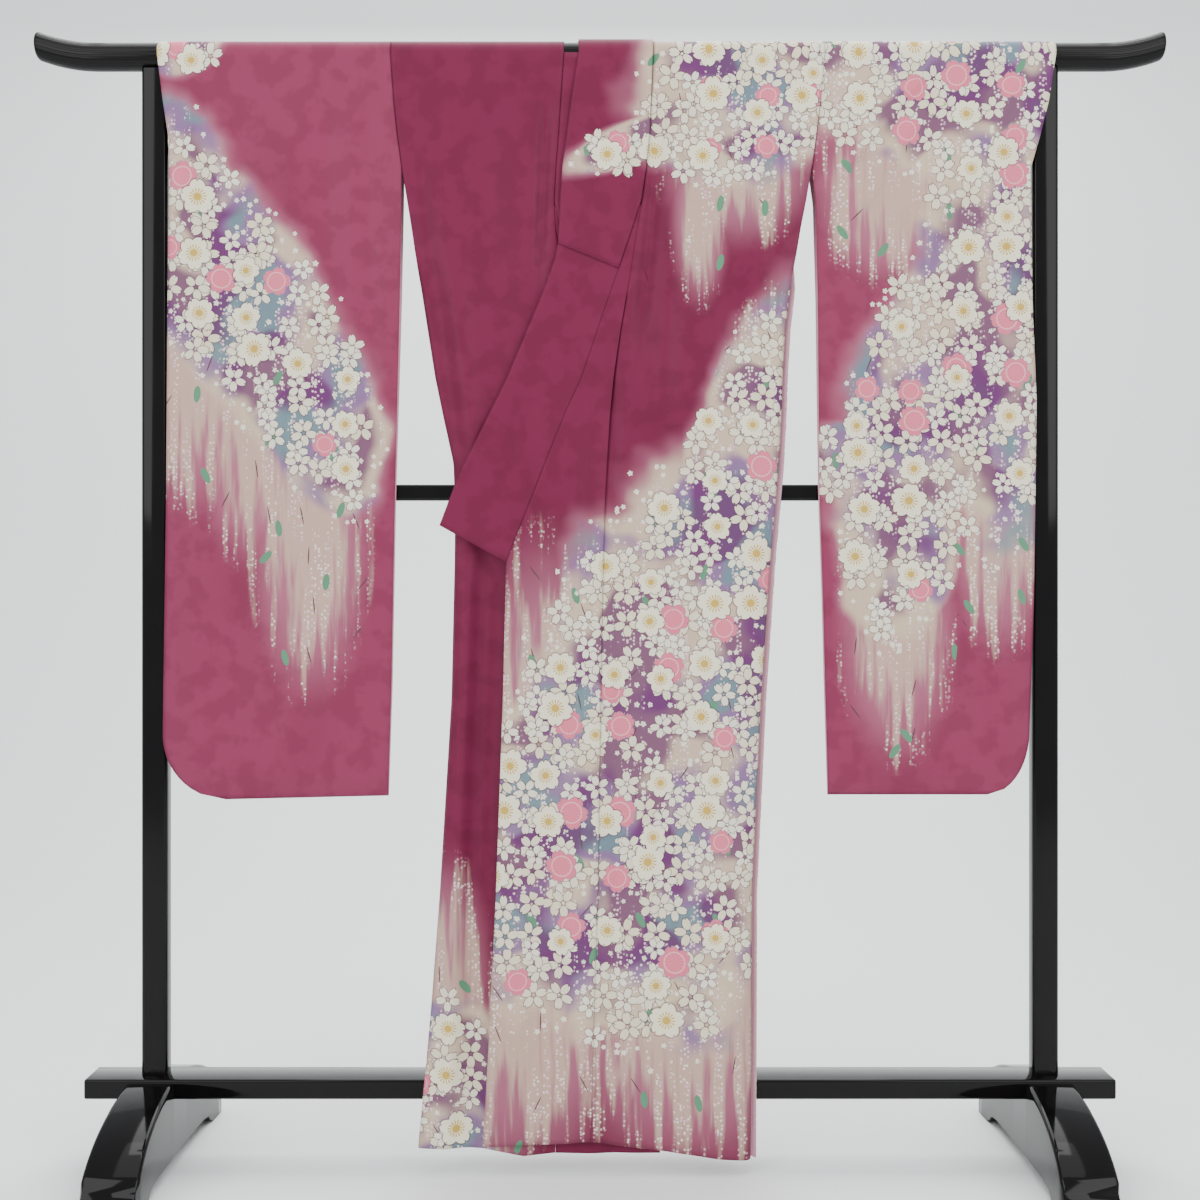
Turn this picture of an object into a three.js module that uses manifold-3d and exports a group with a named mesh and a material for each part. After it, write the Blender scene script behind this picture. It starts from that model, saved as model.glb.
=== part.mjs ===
// A long-sleeved silk kimono hung over a lacquered kimono stand.
// Millimetres. X runs along the top bar, the fronts face -Y, the floor is Z = 0.
// Right and left in the names are the wearer's: the right half lies on the -X side.
import * as THREE from "three";
import * as BufferGeometryUtils from "three/addons/utils/BufferGeometryUtils.js";
import Module from "manifold-3d";

const wasm = await Module();
wasm.setup();

// ---- Driving dimensions ------------------------------------------------------------

const CLOTH = 1.2; // wall of silk with its lining
const SEAM = 0.3; // gap between two pieces that are sewn together
const LAP = 0.4; // gap between two layers that lie on each other

const BAR = { z: 1618.5, radius: 20, straight: 735, half: 825, rise: 17.5, sides: 24 };
const POST = { x: 650, halfWidth: 19, halfDepth: 15, corner: 7 };
const RAIL = { z: 980, halfHeight: 11.75, halfDepth: 9.5, corner: 4 };
const BEAM = { half: 746, halfDepth: 35, low: 101, high: 129.5, bevel: 3 };
const FOOT = { half: 245, height: 125, width: 70, flare: 10, bevel: 7, recess: 19 };

const WRAP = BAR.radius + 2; // outer radius of the first layer over the bar
const LAYER = CLOTH + LAP; // how far each further layer stands out
const CENTRE_BACK = 10;
const NECKLINE = 1592; // height of the seam at the centre of the back neck
const CUFF = 1402; // top of the sewn part of each sleeve's outer edge
const ARMHOLE = 1449; // bottom of the seam between sleeve and body
const SIDE_SEAM = 1265; // top of the sewn part of the body's side
const BODY_ROUND = 45; // how far from a side seam the body's walls round in
const SLEEVE_ROUND = 60;
const SLEEVE_SEAM_Y = -18; // where a sleeve's two walls meet, just in front of the post

// ---- Tables, each from the bottom up -----------------------------------------------

// Y of each layer's outer face at the middle of a panel.
const DEPTH = [
  { z: 20, rear: -38, under: -58, over: -70, side: -50 },
  { z: 130, rear: -37.5, under: -56, over: -67, side: -48 },
  { z: 400, rear: -28, under: -50, over: -61, side: -39 },
  { z: 700, rear: -19.5, under: -40, over: -52, side: -29 },
  { z: 980, rear: -12, under: -31, over: -43, side: -21 },
  { z: 1111, rear: -5, under: -27.5, over: -37, side: -16 },
  { z: 1265, rear: 2, under: -25, over: -32, side: -11 },
  { z: CUFF, rear: 9, under: -23.5, over: -27.5, side: -8 },
  { z: 1500, rear: 15, under: -22.7, over: -25, side: -5 },
  { z: 1560, rear: 19, under: -22.3, over: -23.6, side: -2 },
  { z: BAR.z, rear: WRAP, under: -WRAP, over: -WRAP, side: 0 },
];

const SLEEVE_DEPTH = [
  { z: 530, front: -27, rear: -15 },
  { z: 700, front: -29, rear: -14 },
  { z: 980, front: -28, rear: -12.5 },
  { z: 1111, front: -26.5, rear: -5 },
  { z: 1265, front: -25.5, rear: 2 },
  { z: CUFF, front: -24.5, rear: 9 },
  { z: 1500, front: -23.2, rear: 15 },
  { z: 1560, front: -22.6, rear: 19 },
  { z: BAR.z, front: -WRAP, rear: WRAP },
];

// X of the seams and edges of the two body halves, and of the two overlap panels.
// inner: front panel's inner seam. side: side edge. free: overlap panel's free edge.
// collar: seam between the overlap panel, or the neck, and the collar.
const RIGHT = [
  { z: 20, inner: -64, side: -261, free: 86 },
  { z: 130, inner: -58, side: -251, free: 91 },
  { z: 250, inner: -50, side: -242, free: 96 },
  { z: 400, inner: -41, side: -231, free: 102 },
  { z: 536, inner: -34, side: -223, free: 107 },
  { z: 680, inner: -28, side: -215, free: 112 },
  { z: 780, inner: -24, side: -212.5, free: 116 },
  { z: 877, inner: -20, side: -211, free: 120 },
  { z: 952, inner: -14, side: -210.5, free: 92 },
  { z: 1021, inner: -8, side: -213, free: 68 },
  { z: 1089, inner: -10, side: -228, free: 44 },
  { z: 1146, inner: -18, side: -240, free: 22 },
  { z: 1215, inner: -32, side: -251, free: -5 },
  { z: 1275, inner: -46, side: -261, free: -30 },
  { z: 1303, inner: -52, side: -265, free: -40 },
  { z: 1362, inner: -64, side: -273.5, free: -58 },
  { z: CUFF, inner: -67, side: -280, free: -66.5 },
  { z: ARMHOLE, inner: -64.3, side: -288, free: -64 },
  { z: 1500, inner: -60.3, side: -295, free: -60 },
  { z: 1548, inner: -57.3, side: -300, free: -57 },
  { z: 1590, inner: -54.3, side: -303, free: -54 },
  { z: BAR.z, inner: -52.3, side: -305, free: -52 },
];
const LEFT = [
  { z: 20, inner: -13, side: 216, free: -167 },
  { z: 130, inner: -11, side: 217, free: -162 },
  { z: 250, inner: -8, side: 218, free: -156 },
  { z: 400, inner: -3, side: 219, free: -149 },
  { z: 536, inner: -1, side: 226, free: -144 },
  { z: 680, inner: 1, side: 233, free: -139.5 },
  { z: 780, inner: 2.5, side: 239, free: -136.5 },
  { z: 877, inner: 4.5, side: 247, free: -135 },
  { z: 952, inner: 7, side: 254, free: -106 },
  { z: 1021, inner: 10.5, side: 260, free: -79 },
  { z: 1089, inner: 14.5, side: 264, free: -52 },
  { z: 1146, inner: 20, side: 266, free: -26 },
  { z: 1215, inner: 30, side: 270, free: -3 },
  { z: 1275, inner: 40.5, side: 277, free: 17 },
  { z: 1303, inner: 45, side: 281, free: 27 },
  { z: 1362, inner: 53.5, side: 291, free: 47 },
  { z: CUFF, inner: 61, side: 299, free: 60 },
  { z: ARMHOLE, inner: 67.3, side: 307, free: 67 },
  { z: 1500, inner: 72.3, side: 314, free: 72 },
  { z: 1548, inner: 74.3, side: 320, free: 74 },
  { z: 1590, inner: 76.3, side: 324, free: 76 },
  { z: BAR.z, inner: 77.3, side: 327, free: 77 },
];

// The collar's other edge, opposite each point of its seam.
const COLLAR_RIGHT_EDGE = [
  { seam: 877, x: 214, z: 908 },
  { seam: 952, x: 188, z: 984 },
  { seam: 1021, x: 164, z: 1052 },
  { seam: 1089, x: 140, z: 1118 },
  { seam: 1146, x: 118, z: 1172 },
  { seam: 1215, x: 90, z: 1238 },
  { seam: 1275, x: 66, z: 1292 },
  { seam: 1303, x: 57, z: 1317 },
  { seam: 1362, x: 45, z: 1368 },
  { seam: CUFF, x: 42, z: 1404 },
  { seam: ARMHOLE, x: 42, z: 1449 },
  { seam: 1500, x: 42, z: 1500 },
  { seam: 1548, x: 43, z: 1548 },
  { seam: 1590, x: 44, z: 1590 },
  { seam: BAR.z, x: 45, z: BAR.z },
];
const COLLAR_LEFT_EDGE = [
  { seam: 877, x: -231, z: 930 },
  { seam: 952, x: -204, z: 1003 },
  { seam: 1021, x: -170, z: 1062 },
  { seam: 1089, x: -136, z: 1140 },
  { seam: 1146, x: -108, z: 1205 },
  { seam: 1215, x: -85, z: 1262 },
  { seam: 1275, x: -65, z: 1318 },
  { seam: 1303, x: -61, z: 1339 },
  { seam: 1362, x: -59, z: 1385 },
  { seam: CUFF, x: -57, z: 1418 },
  { seam: ARMHOLE, x: -54, z: 1455 },
  { seam: 1500, x: -48, z: 1502 },
  { seam: 1548, x: -42, z: 1548 },
  { seam: 1590, x: -36, z: 1590 },
  { seam: BAR.z, x: -31, z: BAR.z },
];
const OVERCOLLAR_END = 1303; // the overcollar starts at this row of the left collar
const NAPE = { left: -62, right: 82, low: 1578 }; // the collar behind the bar

// Heights of the hems, across the garment.
const HEM = [
  { x: -261, under: 37, over: 40, rear: 38 },
  { x: -166, under: 38, over: 44, rear: 34 },
  { x: -110, under: 27, over: 46, rear: 33 },
  { x: -66, under: 32, over: 48, rear: 34 },
  { x: -13, under: 31, over: 51, rear: 36 },
  { x: 86, under: 32, over: 38, rear: 34 },
  { x: 226, under: 32, over: 20, rear: 22 },
];

const SLEEVE_RIGHT = {
  sign: -1,
  bottom: { inner: 538.5, outer: 533 },
  corner: { width: 93, height: 95 },
  edges: [
    { z: 530, inner: -307.5, outer: -637 },
    { z: 700, inner: -302, outer: -635 },
    { z: 823, inner: -299.5, outer: -632 },
    { z: 980, inner: -297, outer: -631 },
    { z: 1113, inner: -293.5, outer: -630 },
    { z: 1258, inner: -290.5, outer: -629 },
    { z: 1340, inner: -289, outer: -628 },
    { z: CUFF, inner: -288.3, outer: -627 },
    { z: ARMHOLE, inner: -288.3, outer: -626 },
    { z: 1500, inner: -295.3, outer: -627.5 },
    { z: 1548, inner: -300.3, outer: -635 },
    { z: 1590, inner: -303.3, outer: -642 },
    { z: BAR.z, inner: -305.3, outer: -644 },
  ],
};
const SLEEVE_LEFT = {
  sign: 1,
  bottom: { inner: 540, outer: 540 },
  corner: { width: 58, height: 87 },
  edges: [
    { z: 530, inner: 331, outer: 621 },
    { z: 700, inner: 326, outer: 627 },
    { z: 823, inner: 323, outer: 631 },
    { z: 980, inner: 318, outer: 633.5 },
    { z: 1113, inner: 317, outer: 635 },
    { z: 1258, inner: 316, outer: 629 },
    { z: 1340, inner: 314.5, outer: 628 },
    { z: CUFF, inner: 313, outer: 627 },
    { z: ARMHOLE, inner: 307.3, outer: 626 },
    { z: 1500, inner: 314.3, outer: 641 },
    { z: 1548, inner: 320.3, outer: 652 },
    { z: 1590, inner: 324.3, outer: 660 },
    { z: BAR.z, inner: 327.3, outer: 663 },
  ],
};
const CUFF_INSIDE_POST = 628.5; // the back of each cuff hangs inside its post

// Soft troughs: share of the panel's width, half width as a share, depth, and the
// height by which the trough has faded out.
const TROUGHS = {
  right_front: [
    { share: 0.62, width: 0.13, depth: 8, high: 780 },
    { share: 0.9, width: 0.06, depth: 2.5, high: 1000 },
  ],
  left_front: [
    { share: 0.12, width: 0.1, depth: 3, high: 1150 },
    { share: 0.55, width: 0.12, depth: 3, high: 900 },
  ],
  right_back: [
    { share: 0.2, width: 0.1, depth: 6, high: 1200 },
    { share: 0.45, width: 0.1, depth: 6, high: 1300 },
    { share: 0.88, width: 0.08, depth: 3, high: 1150 },
  ],
  left_back: [
    { share: 0.18, width: 0.1, depth: 6, high: 1300 },
    { share: 0.5, width: 0.12, depth: 7, high: 1150 },
    { share: 0.8, width: 0.09, depth: 5, high: 1250 },
  ],
  sleeve: [
    { share: 0.28, width: 0.14, depth: 3, high: 1500 },
    { share: 0.68, width: 0.14, depth: 3.5, high: 1450 },
  ],
};
const TROUGH_FADE = 110;

const COLOURS = {
  silk: 0xb04b75,
  sleeve: 0xb8507c,
  collar: 0xa8436e,
  lacquer: 0x0b0a0b,
};

// ---- Reading the tables ------------------------------------------------------------

const { lerp, smoothstep, clamp } = THREE.MathUtils;

// The value of a column, on straight lines between a table's rows.
function read(table, column, where, key = "z") {
  const rows = table.length;
  let k = 0;
  while (k < rows - 2 && where > table[k + 1][key]) {
    k += 1;
  }
  const share = clamp((where - table[k][key]) / (table[k + 1][key] - table[k][key]), 0, 1);
  return lerp(table[k][column], table[k + 1][column], share);
}

// 0 at an edge and 1 a reach away from it, along a quarter of an ellipse.
function roundIn(distance, reach) {
  const rest = 1 - clamp(distance / reach, 0, 1);
  return Math.sqrt(1 - rest * rest);
}

function trough(list, share, z) {
  let depth = 0;
  for (const fold of list) {
    const across = Math.exp(-(((share - fold.share) / fold.width) ** 2));
    const top = 1 - smoothstep(z, fold.high, fold.high + TROUGH_FADE);
    depth += fold.depth * across * top;
  }
  return depth;
}

// ---- Walls of cloth ----------------------------------------------------------------

// One row for each height up the front, each turn over the bar and each height down
// the back. turn is 0 at the front of the bar and 180 at its back.
function rowsOverBar(frontHeights, turns, backHeights) {
  const front = frontHeights.map((z) => ({ face: "front", z }));
  const over = turns.map((turn) => ({ face: "bar", z: BAR.z, turn }));
  const back = backHeights.map((z) => ({ face: "rear", z }));
  return [...front, ...over, ...back];
}

// A point of a layer that turns over the bar.
function overBar(x, radius, turn) {
  const angle = THREE.MathUtils.degToRad(turn);
  return new THREE.Vector3(x, -radius * Math.cos(angle), BAR.z + radius * Math.sin(angle));
}

// A closed wall: the grid is its outer face, and the inner face is the same points
// moved in along their normals by the cloth's thickness.
function wall(grid) {
  const rows = grid.length;
  const columns = grid[0].length;
  const normals = gridNormals(grid);
  const inner = grid.map((row, i) =>
    row.map((point, j) => point.clone().addScaledVector(normals[i][j], -CLOTH)),
  );
  const positions = [];
  for (const face of [grid, inner]) {
    for (const point of face.flat()) {
      positions.push(point.x, point.y, point.z);
    }
  }
  const index = [];
  const outerId = (i, j) => i * columns + j;
  const innerId = (i, j) => rows * columns + i * columns + j;
  const quad = (a, b, c, d) => index.push(a, b, c, a, c, d);
  for (let i = 0; i < rows - 1; i += 1) {
    for (let j = 0; j < columns - 1; j += 1) {
      quad(outerId(i, j), outerId(i, j + 1), outerId(i + 1, j + 1), outerId(i + 1, j));
      quad(innerId(i, j), innerId(i + 1, j), innerId(i + 1, j + 1), innerId(i, j + 1));
    }
    const last = columns - 1;
    quad(outerId(i, 0), outerId(i + 1, 0), innerId(i + 1, 0), innerId(i, 0));
    quad(outerId(i + 1, last), outerId(i, last), innerId(i, last), innerId(i + 1, last));
  }
  for (let j = 0; j < columns - 1; j += 1) {
    const last = rows - 1;
    quad(outerId(0, j + 1), outerId(0, j), innerId(0, j), innerId(0, j + 1));
    quad(outerId(last, j), outerId(last, j + 1), innerId(last, j + 1), innerId(last, j));
  }
  return solid(positions, index);
}

function gridNormals(grid) {
  const rows = grid.length;
  const columns = grid[0].length;
  const normals = grid.map((row) => row.map(() => new THREE.Vector3()));
  for (let i = 0; i < rows - 1; i += 1) {
    for (let j = 0; j < columns - 1; j += 1) {
      const across = grid[i + 1][j + 1].clone().sub(grid[i][j]);
      const along = grid[i + 1][j].clone().sub(grid[i][j + 1]);
      const normal = across.cross(along).normalize();
      for (const [a, b] of [[i, j], [i + 1, j], [i, j + 1], [i + 1, j + 1]]) {
        normals[a][b].add(normal);
      }
    }
  }
  return normals.map((row) => row.map((normal) => normal.normalize()));
}

// Columns run towards +X up the front, so a piece whose shares run towards -X is
// turned round before its wall is made.
function sheet(rows, shares, pointAt, sign) {
  const order = sign > 0 ? shares : [...shares].reverse();
  return wall(rows.map((row) => order.map((share) => pointAt(row, share))));
}

function evenShares(count) {
  return Array.from({ length: count + 1 }, (_, k) => k / count);
}

function solid(positions, index) {
  const geometry = new THREE.BufferGeometry();
  geometry.setAttribute("position", new THREE.Float32BufferAttribute(positions, 3));
  geometry.setIndex(index);
  geometry.computeVertexNormals();
  return geometry;
}

// ---- Body halves: front and back in one length over the shoulder --------------------

const FRONT_HEIGHTS = RIGHT.map((row) => row.z);
const BACK_HEIGHTS = [
  BAR.z, 1606, 1597, NECKLINE, 1548, 1500, ARMHOLE, CUFF, 1340, SIDE_SEAM, 1190, 1111,
  1040, 980, 880, 760, 640, 520, 400, 260, 130, 20,
];
const TURNS = [22.5, 45, 67.5, 90, 112.5, 135, 157.5];
const BODY_SHARES = [0, 0.12, 0.25, 0.38, 0.5, 0.62, 0.74, 0.84, 0.92, 0.97, 1];

// How much of the side seam is sewn at a height: all of it below the armhole.
function sewnSide(z) {
  return 1 - smoothstep(z, SIDE_SEAM, SIDE_SEAM + 70);
}

function bodyHalf({ table, sign, layer, frontFolds, backFolds, sideRoll }) {
  const hemHeight = (row, x, column) => (row.z > 20 ? row.z : read(HEM, column, x, "x"));
  const atSide = (z, distance) => lerp(1, roundIn(distance, BODY_ROUND), sewnSide(z));
  const frontPoint = (z, share) => {
    const inner = read(table, "inner", z) + (sign * SEAM) / 2;
    const side = read(table, "side", z) - (sign * SEAM) / 2;
    const x = lerp(inner, side, share);
    const open = atSide(z, Math.abs(side - x));
    const face = read(DEPTH, layer, z) + trough(frontFolds, share, z);
    const seam = read(DEPTH, "side", z) - SEAM / 2 - CLOTH;
    return new THREE.Vector3(x, lerp(seam, face, open), z);
  };
  const backPoint = (z, share) => {
    const neck = read(table, "inner", BAR.z);
    const centre = CENTRE_BACK + (sign * SEAM) / 2;
    const fromNeck = roundIn(z - NECKLINE, BAR.z - NECKLINE);
    const inner = z > NECKLINE ? lerp(centre, neck, fromNeck) : centre;
    const roll = sideRoll * sewnSide(z);
    const side = read(table, "side", z) - (sign * SEAM) / 2 + sign * roll;
    const x = lerp(inner, side, share);
    const open = atSide(z, Math.abs(side - x));
    const face = read(DEPTH, "rear", z) - trough(backFolds, share, z);
    const seam = read(DEPTH, "side", z) + SEAM / 2 + CLOTH;
    return new THREE.Vector3(x, lerp(seam, face, open), z);
  };
  const pointAt = (row, share) => {
    if (row.face === "bar") {
      return overBar(frontPoint(BAR.z, share).x, WRAP, row.turn);
    }
    const point = row.face === "front" ? frontPoint(row.z, share) : backPoint(row.z, share);
    point.z = hemHeight(row, point.x, row.face === "front" ? layer : "rear");
    return point;
  };
  return sheet(rowsOverBar(FRONT_HEIGHTS, TURNS, BACK_HEIGHTS), BODY_SHARES, pointAt, sign);
}

// ---- Overlap panels: the narrow gores between each front and its free edge ----------

const OVERLAP_TIP = 1396;

function overlapPanel({ table, sign, layer }) {
  const heights = [...FRONT_HEIGHTS.filter((z) => z < OVERLAP_TIP), OVERLAP_TIP];
  const rows = heights.map((z) => ({ face: "front", z }));
  const pointAt = (row, share) => {
    const seam = read(table, "inner", row.z) - (sign * SEAM) / 2;
    const free = read(table, "free", row.z) + (sign * SEAM) / 2;
    const x = lerp(free, seam, share);
    const z = row.z > 20 ? row.z : read(HEM, layer, x, "x");
    return new THREE.Vector3(x, read(DEPTH, layer, row.z), z);
  };
  return sheet(rows, evenShares(4), pointAt, sign);
}

// ---- Collar: a straight band from one front, round the neck, to the other -----------

// A collar's face lies in its front's own layer, lifted off it by lift, and moved out by
// a further rise where it turns over the bar.
function collarBand({ table, edges, sign, layer, lift, rise, from, turns, nape }) {
  const out = lift + rise;
  const rows = edges.filter((row) => row.seam >= from);
  const seamX = (row) => read(table, "free", row.seam) - (sign * SEAM) / 2;
  const onFront = rows.map((row) => ({ face: "front", row }));
  const onBar = turns.map((turn) => ({ face: "bar", turn }));
  const onBack = nape ? [BAR.z, 1600, nape.low].map((z) => ({ face: "rear", z })) : [];
  const top = rows[rows.length - 1];
  const pointAt = (station, share) => {
    if (station.face === "front") {
      const x = lerp(station.row.x, seamX(station.row), share);
      const z = lerp(station.row.z, station.row.seam, share);
      const y = read(DEPTH, layer, z) - lift - rise * smoothstep(z, 1480, BAR.z);
      return new THREE.Vector3(x, y, z);
    }
    const spread = nape ? lerp(nape.left, nape.right, share) : 0;
    const across = lerp(top.x, seamX(top), share);
    if (station.face === "bar") {
      const turned = nape ? smoothstep(station.turn, 90, 180) : 0;
      return overBar(lerp(across, spread, turned), WRAP + out, station.turn);
    }
    return new THREE.Vector3(spread, read(DEPTH, "rear", station.z) + out, station.z);
  };
  return sheet([...onFront, ...onBar, ...onBack], evenShares(4), pointAt, -sign);
}

// ---- Sleeves: one folded length, sewn along the bottom and up to the cuff -----------

const SLEEVE_HEIGHTS = [
  530, 542, 560, 585, 620, 700, 823, 980, 1113, 1258, 1340, CUFF, ARMHOLE, 1500, 1548,
  1590, BAR.z,
];
const SLEEVE_SHARES = [0, 0.13, 0.28, 0.43, 0.56, 0.68, 0.8, 0.9, 0.97, 1];

function sleeve({ sign, edges, bottom, corner }) {
  const cornerX = (z) => {
    const low = Math.min(bottom.inner, bottom.outer);
    const along = clamp((z - low) / corner.height, 0, 1);
    return corner.width * (1 - Math.sqrt(1 - (1 - along) ** 2));
  };
  const pointOn = (face, height, share) => {
    const inner = read(edges, "inner", height);
    let outer = read(edges, "outer", height);
    if (face === "rear" && height > CUFF && height < 1590) {
      outer = sign * Math.min(Math.abs(outer), CUFF_INSIDE_POST);
    }
    outer -= sign * cornerX(height);
    const x = lerp(inner, outer, share);
    const low = lerp(bottom.inner, bottom.outer, share);
    const z = height > 530 ? height : low;
    const sewn = 1 - smoothstep(height, CUFF, 1530);
    const atEdge = lerp(1, roundIn(Math.abs(outer - x), SLEEVE_ROUND), sewn);
    const open = atEdge * roundIn(z - low, SLEEVE_ROUND);
    const side = face === "front" ? -1 : 1;
    const seam = SLEEVE_SEAM_Y + side * (SEAM / 2 + CLOTH);
    const fold = side * trough(TROUGHS.sleeve, share, height) * open;
    return new THREE.Vector3(x, lerp(seam, read(SLEEVE_DEPTH, face, height), open) - fold, z);
  };
  const pointAt = (row, share) => {
    if (row.face === "bar") {
      return overBar(pointOn("front", BAR.z, share).x, WRAP, row.turn);
    }
    return pointOn(row.face, row.z, share);
  };
  const back = [...SLEEVE_HEIGHTS].reverse();
  return sheet(rowsOverBar(SLEEVE_HEIGHTS, TURNS, back), SLEEVE_SHARES, pointAt, sign);
}

// ---- The stand ---------------------------------------------------------------------

// A closed loft through rings of equal count, with a flat cap at each end.
function loft(rings) {
  const count = rings[0].length;
  const positions = rings.flat().flatMap((point) => [point.x, point.y, point.z]);
  const index = [];
  for (let i = 0; i < rings.length - 1; i += 1) {
    for (let j = 0; j < count; j += 1) {
      const a = i * count + j;
      const b = i * count + ((j + 1) % count);
      index.push(a, b, b + count, a, b + count, a + count);
    }
  }
  const end = (rings.length - 1) * count;
  for (let j = 1; j < count - 1; j += 1) {
    index.push(0, j + 1, j);
    index.push(end, end + j, end + j + 1);
  }
  return solid(positions, index);
}

// A rectangle with rounded corners, anticlockwise, as [across, up] pairs.
function roundedRectangle(halfAcross, halfUp, corner, steps = 3) {
  const points = [];
  for (let quarter = 0; quarter < 4; quarter += 1) {
    const cx = (quarter === 0 || quarter === 3 ? 1 : -1) * (halfAcross - corner);
    const cy = (quarter < 2 ? 1 : -1) * (halfUp - corner);
    for (let k = 0; k <= steps; k += 1) {
      const angle = ((quarter + k / steps) * Math.PI) / 2;
      points.push([cx + corner * Math.cos(angle), cy + corner * Math.sin(angle)]);
    }
  }
  return points;
}

function alongX(section, x, z) {
  return section.map(([across, up]) => new THREE.Vector3(x, across, z + up));
}

function barRise(x) {
  const past = Math.max(0, Math.abs(x) - BAR.straight) / (BAR.half - BAR.straight);
  return BAR.rise * past * past;
}

// The bar sweeps up past the posts, and its ends are rounded over.
function topBar(grow) {
  const stations = [-BAR.half, -822, -812, -790, -765, -BAR.straight, 0];
  const all = [...stations, ...stations.slice(0, -1).map((x) => -x).reverse()];
  const rings = all.map((x) => {
    const toEnd = BAR.half - Math.abs(x);
    const radius = BAR.radius * (0.8 + 0.2 * roundIn(toEnd, 13)) + grow;
    const section = [];
    for (let k = 0; k < BAR.sides; k += 1) {
      const angle = (k * 2 * Math.PI) / BAR.sides;
      section.push([radius * Math.cos(angle), radius * Math.sin(angle)]);
    }
    return alongX(section, x, BAR.z + barRise(x));
  });
  return loft(rings);
}

function post(sign) {
  const section = roundedRectangle(POST.halfWidth, POST.halfDepth, POST.corner);
  const ring = (z) => section.map(([x, y]) => new THREE.Vector3(sign * POST.x + x, y, z));
  const full = loft([ring(BEAM.high + SEAM), ring(BAR.z)]);
  return cut(full, [topBar(SEAM)]);
}

function middleRail() {
  const half = POST.x - POST.halfWidth - SEAM;
  const section = roundedRectangle(RAIL.halfDepth, RAIL.halfHeight, RAIL.corner);
  return loft([alongX(section, -half, RAIL.z), alongX(section, half, RAIL.z)]);
}

function baseBeam(grow) {
  const middle = (BEAM.low + BEAM.high) / 2;
  const halfHeight = (BEAM.high - BEAM.low) / 2 + grow;
  const section = roundedRectangle(BEAM.halfDepth + grow, halfHeight, BEAM.bevel, 2);
  const half = BEAM.half + grow;
  return loft([alongX(section, -half, middle), alongX(section, half, middle)]);
}

// A half-ellipse arch, hollowed underneath, with a notch that takes the base beam.
function foot(sign) {
  const ends = [FOOT.half, 243, 236, 222, 205, 188, 170, 152, 120, 80, 40];
  const stations = [...ends.map((y) => -y), 0, ...[...ends].reverse()];
  const rings = stations.map((y) => {
    const out = Math.abs(y) / FOOT.half;
    const high = Math.max(22 * roundIn(FOOT.half - Math.abs(y) + 3, 12), archHeight(y));
    const low = FOOT.recess * (1 - smoothstep(Math.abs(y), 150, 190));
    const half = (FOOT.width + FOOT.flare * out * out) / 2;
    const tipped = half - 6 * (1 - roundIn(FOOT.half - Math.abs(y) + 1, 12));
    const shoulder = high - FOOT.bevel;
    const top = tipped - FOOT.bevel;
    const outline = [
      [-tipped, low], [tipped, low], [tipped, shoulder], [tipped - 2, high - 2],
      [top, high], [-top, high], [2 - tipped, high - 2], [-tipped, shoulder],
    ];
    return outline.map(([x, z]) => new THREE.Vector3(sign * POST.x + x, y, z));
  });
  return cut(loft(rings.reverse()), [baseBeam(SEAM)]);
}

function archHeight(y) {
  const out = y / (FOOT.half + 3);
  return FOOT.height * Math.sqrt(1 - out * out);
}

// ---- Cutting one closed mesh by others -----------------------------------------------

function toManifold(geometry) {
  const bare = geometry.clone();
  bare.deleteAttribute("normal");
  const merged = BufferGeometryUtils.mergeVertices(bare);
  const mesh = new wasm.Mesh({
    numProp: 3,
    vertProperties: merged.attributes.position.array,
    triVerts: Uint32Array.from(merged.index.array),
  });
  return new wasm.Manifold(mesh);
}

function cut(geometry, tools) {
  const rest = tools.reduce((part, tool) => part.subtract(toManifold(tool)), toManifold(geometry));
  const mesh = rest.getMesh();
  return solid(Array.from(mesh.vertProperties), Array.from(mesh.triVerts));
}

// ---- The whole ---------------------------------------------------------------------

const garment = new THREE.Group();

function add(name, geometry, color, roughness, metalness = 0) {
  const material = new THREE.MeshStandardMaterial({ color, roughness, metalness });
  const mesh = new THREE.Mesh(geometry, material);
  mesh.name = name;
  garment.add(mesh);
}

const silkRoughness = 0.55;
const rightHalf = {
  table: RIGHT,
  sign: -1,
  layer: "under",
  frontFolds: TROUGHS.right_front,
  backFolds: TROUGHS.right_back,
  sideRoll: 0,
};
const leftHalf = {
  table: LEFT,
  sign: 1,
  layer: "over",
  frontFolds: TROUGHS.left_front,
  backFolds: TROUGHS.left_back,
  sideRoll: 8,
};
add("right_body", bodyHalf(rightHalf), COLOURS.silk, silkRoughness);
add("left_body", bodyHalf(leftHalf), COLOURS.silk, silkRoughness);
add("right_overlap", overlapPanel(rightHalf), COLOURS.silk, silkRoughness);
add("left_overlap", overlapPanel(leftHalf), COLOURS.silk, silkRoughness);
const rightCollar = {
  table: RIGHT,
  edges: COLLAR_RIGHT_EDGE,
  sign: -1,
  layer: "under",
  lift: 0,
  rise: 0,
  from: 0,
  turns: [22.5, 45, 67.5, 90, 112.5, 135],
  nape: null,
};
const leftCollar = {
  table: LEFT,
  edges: COLLAR_LEFT_EDGE,
  sign: 1,
  layer: "over",
  lift: 0,
  rise: LAYER,
  from: 0,
  turns: TURNS,
  nape: NAPE,
};
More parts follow.
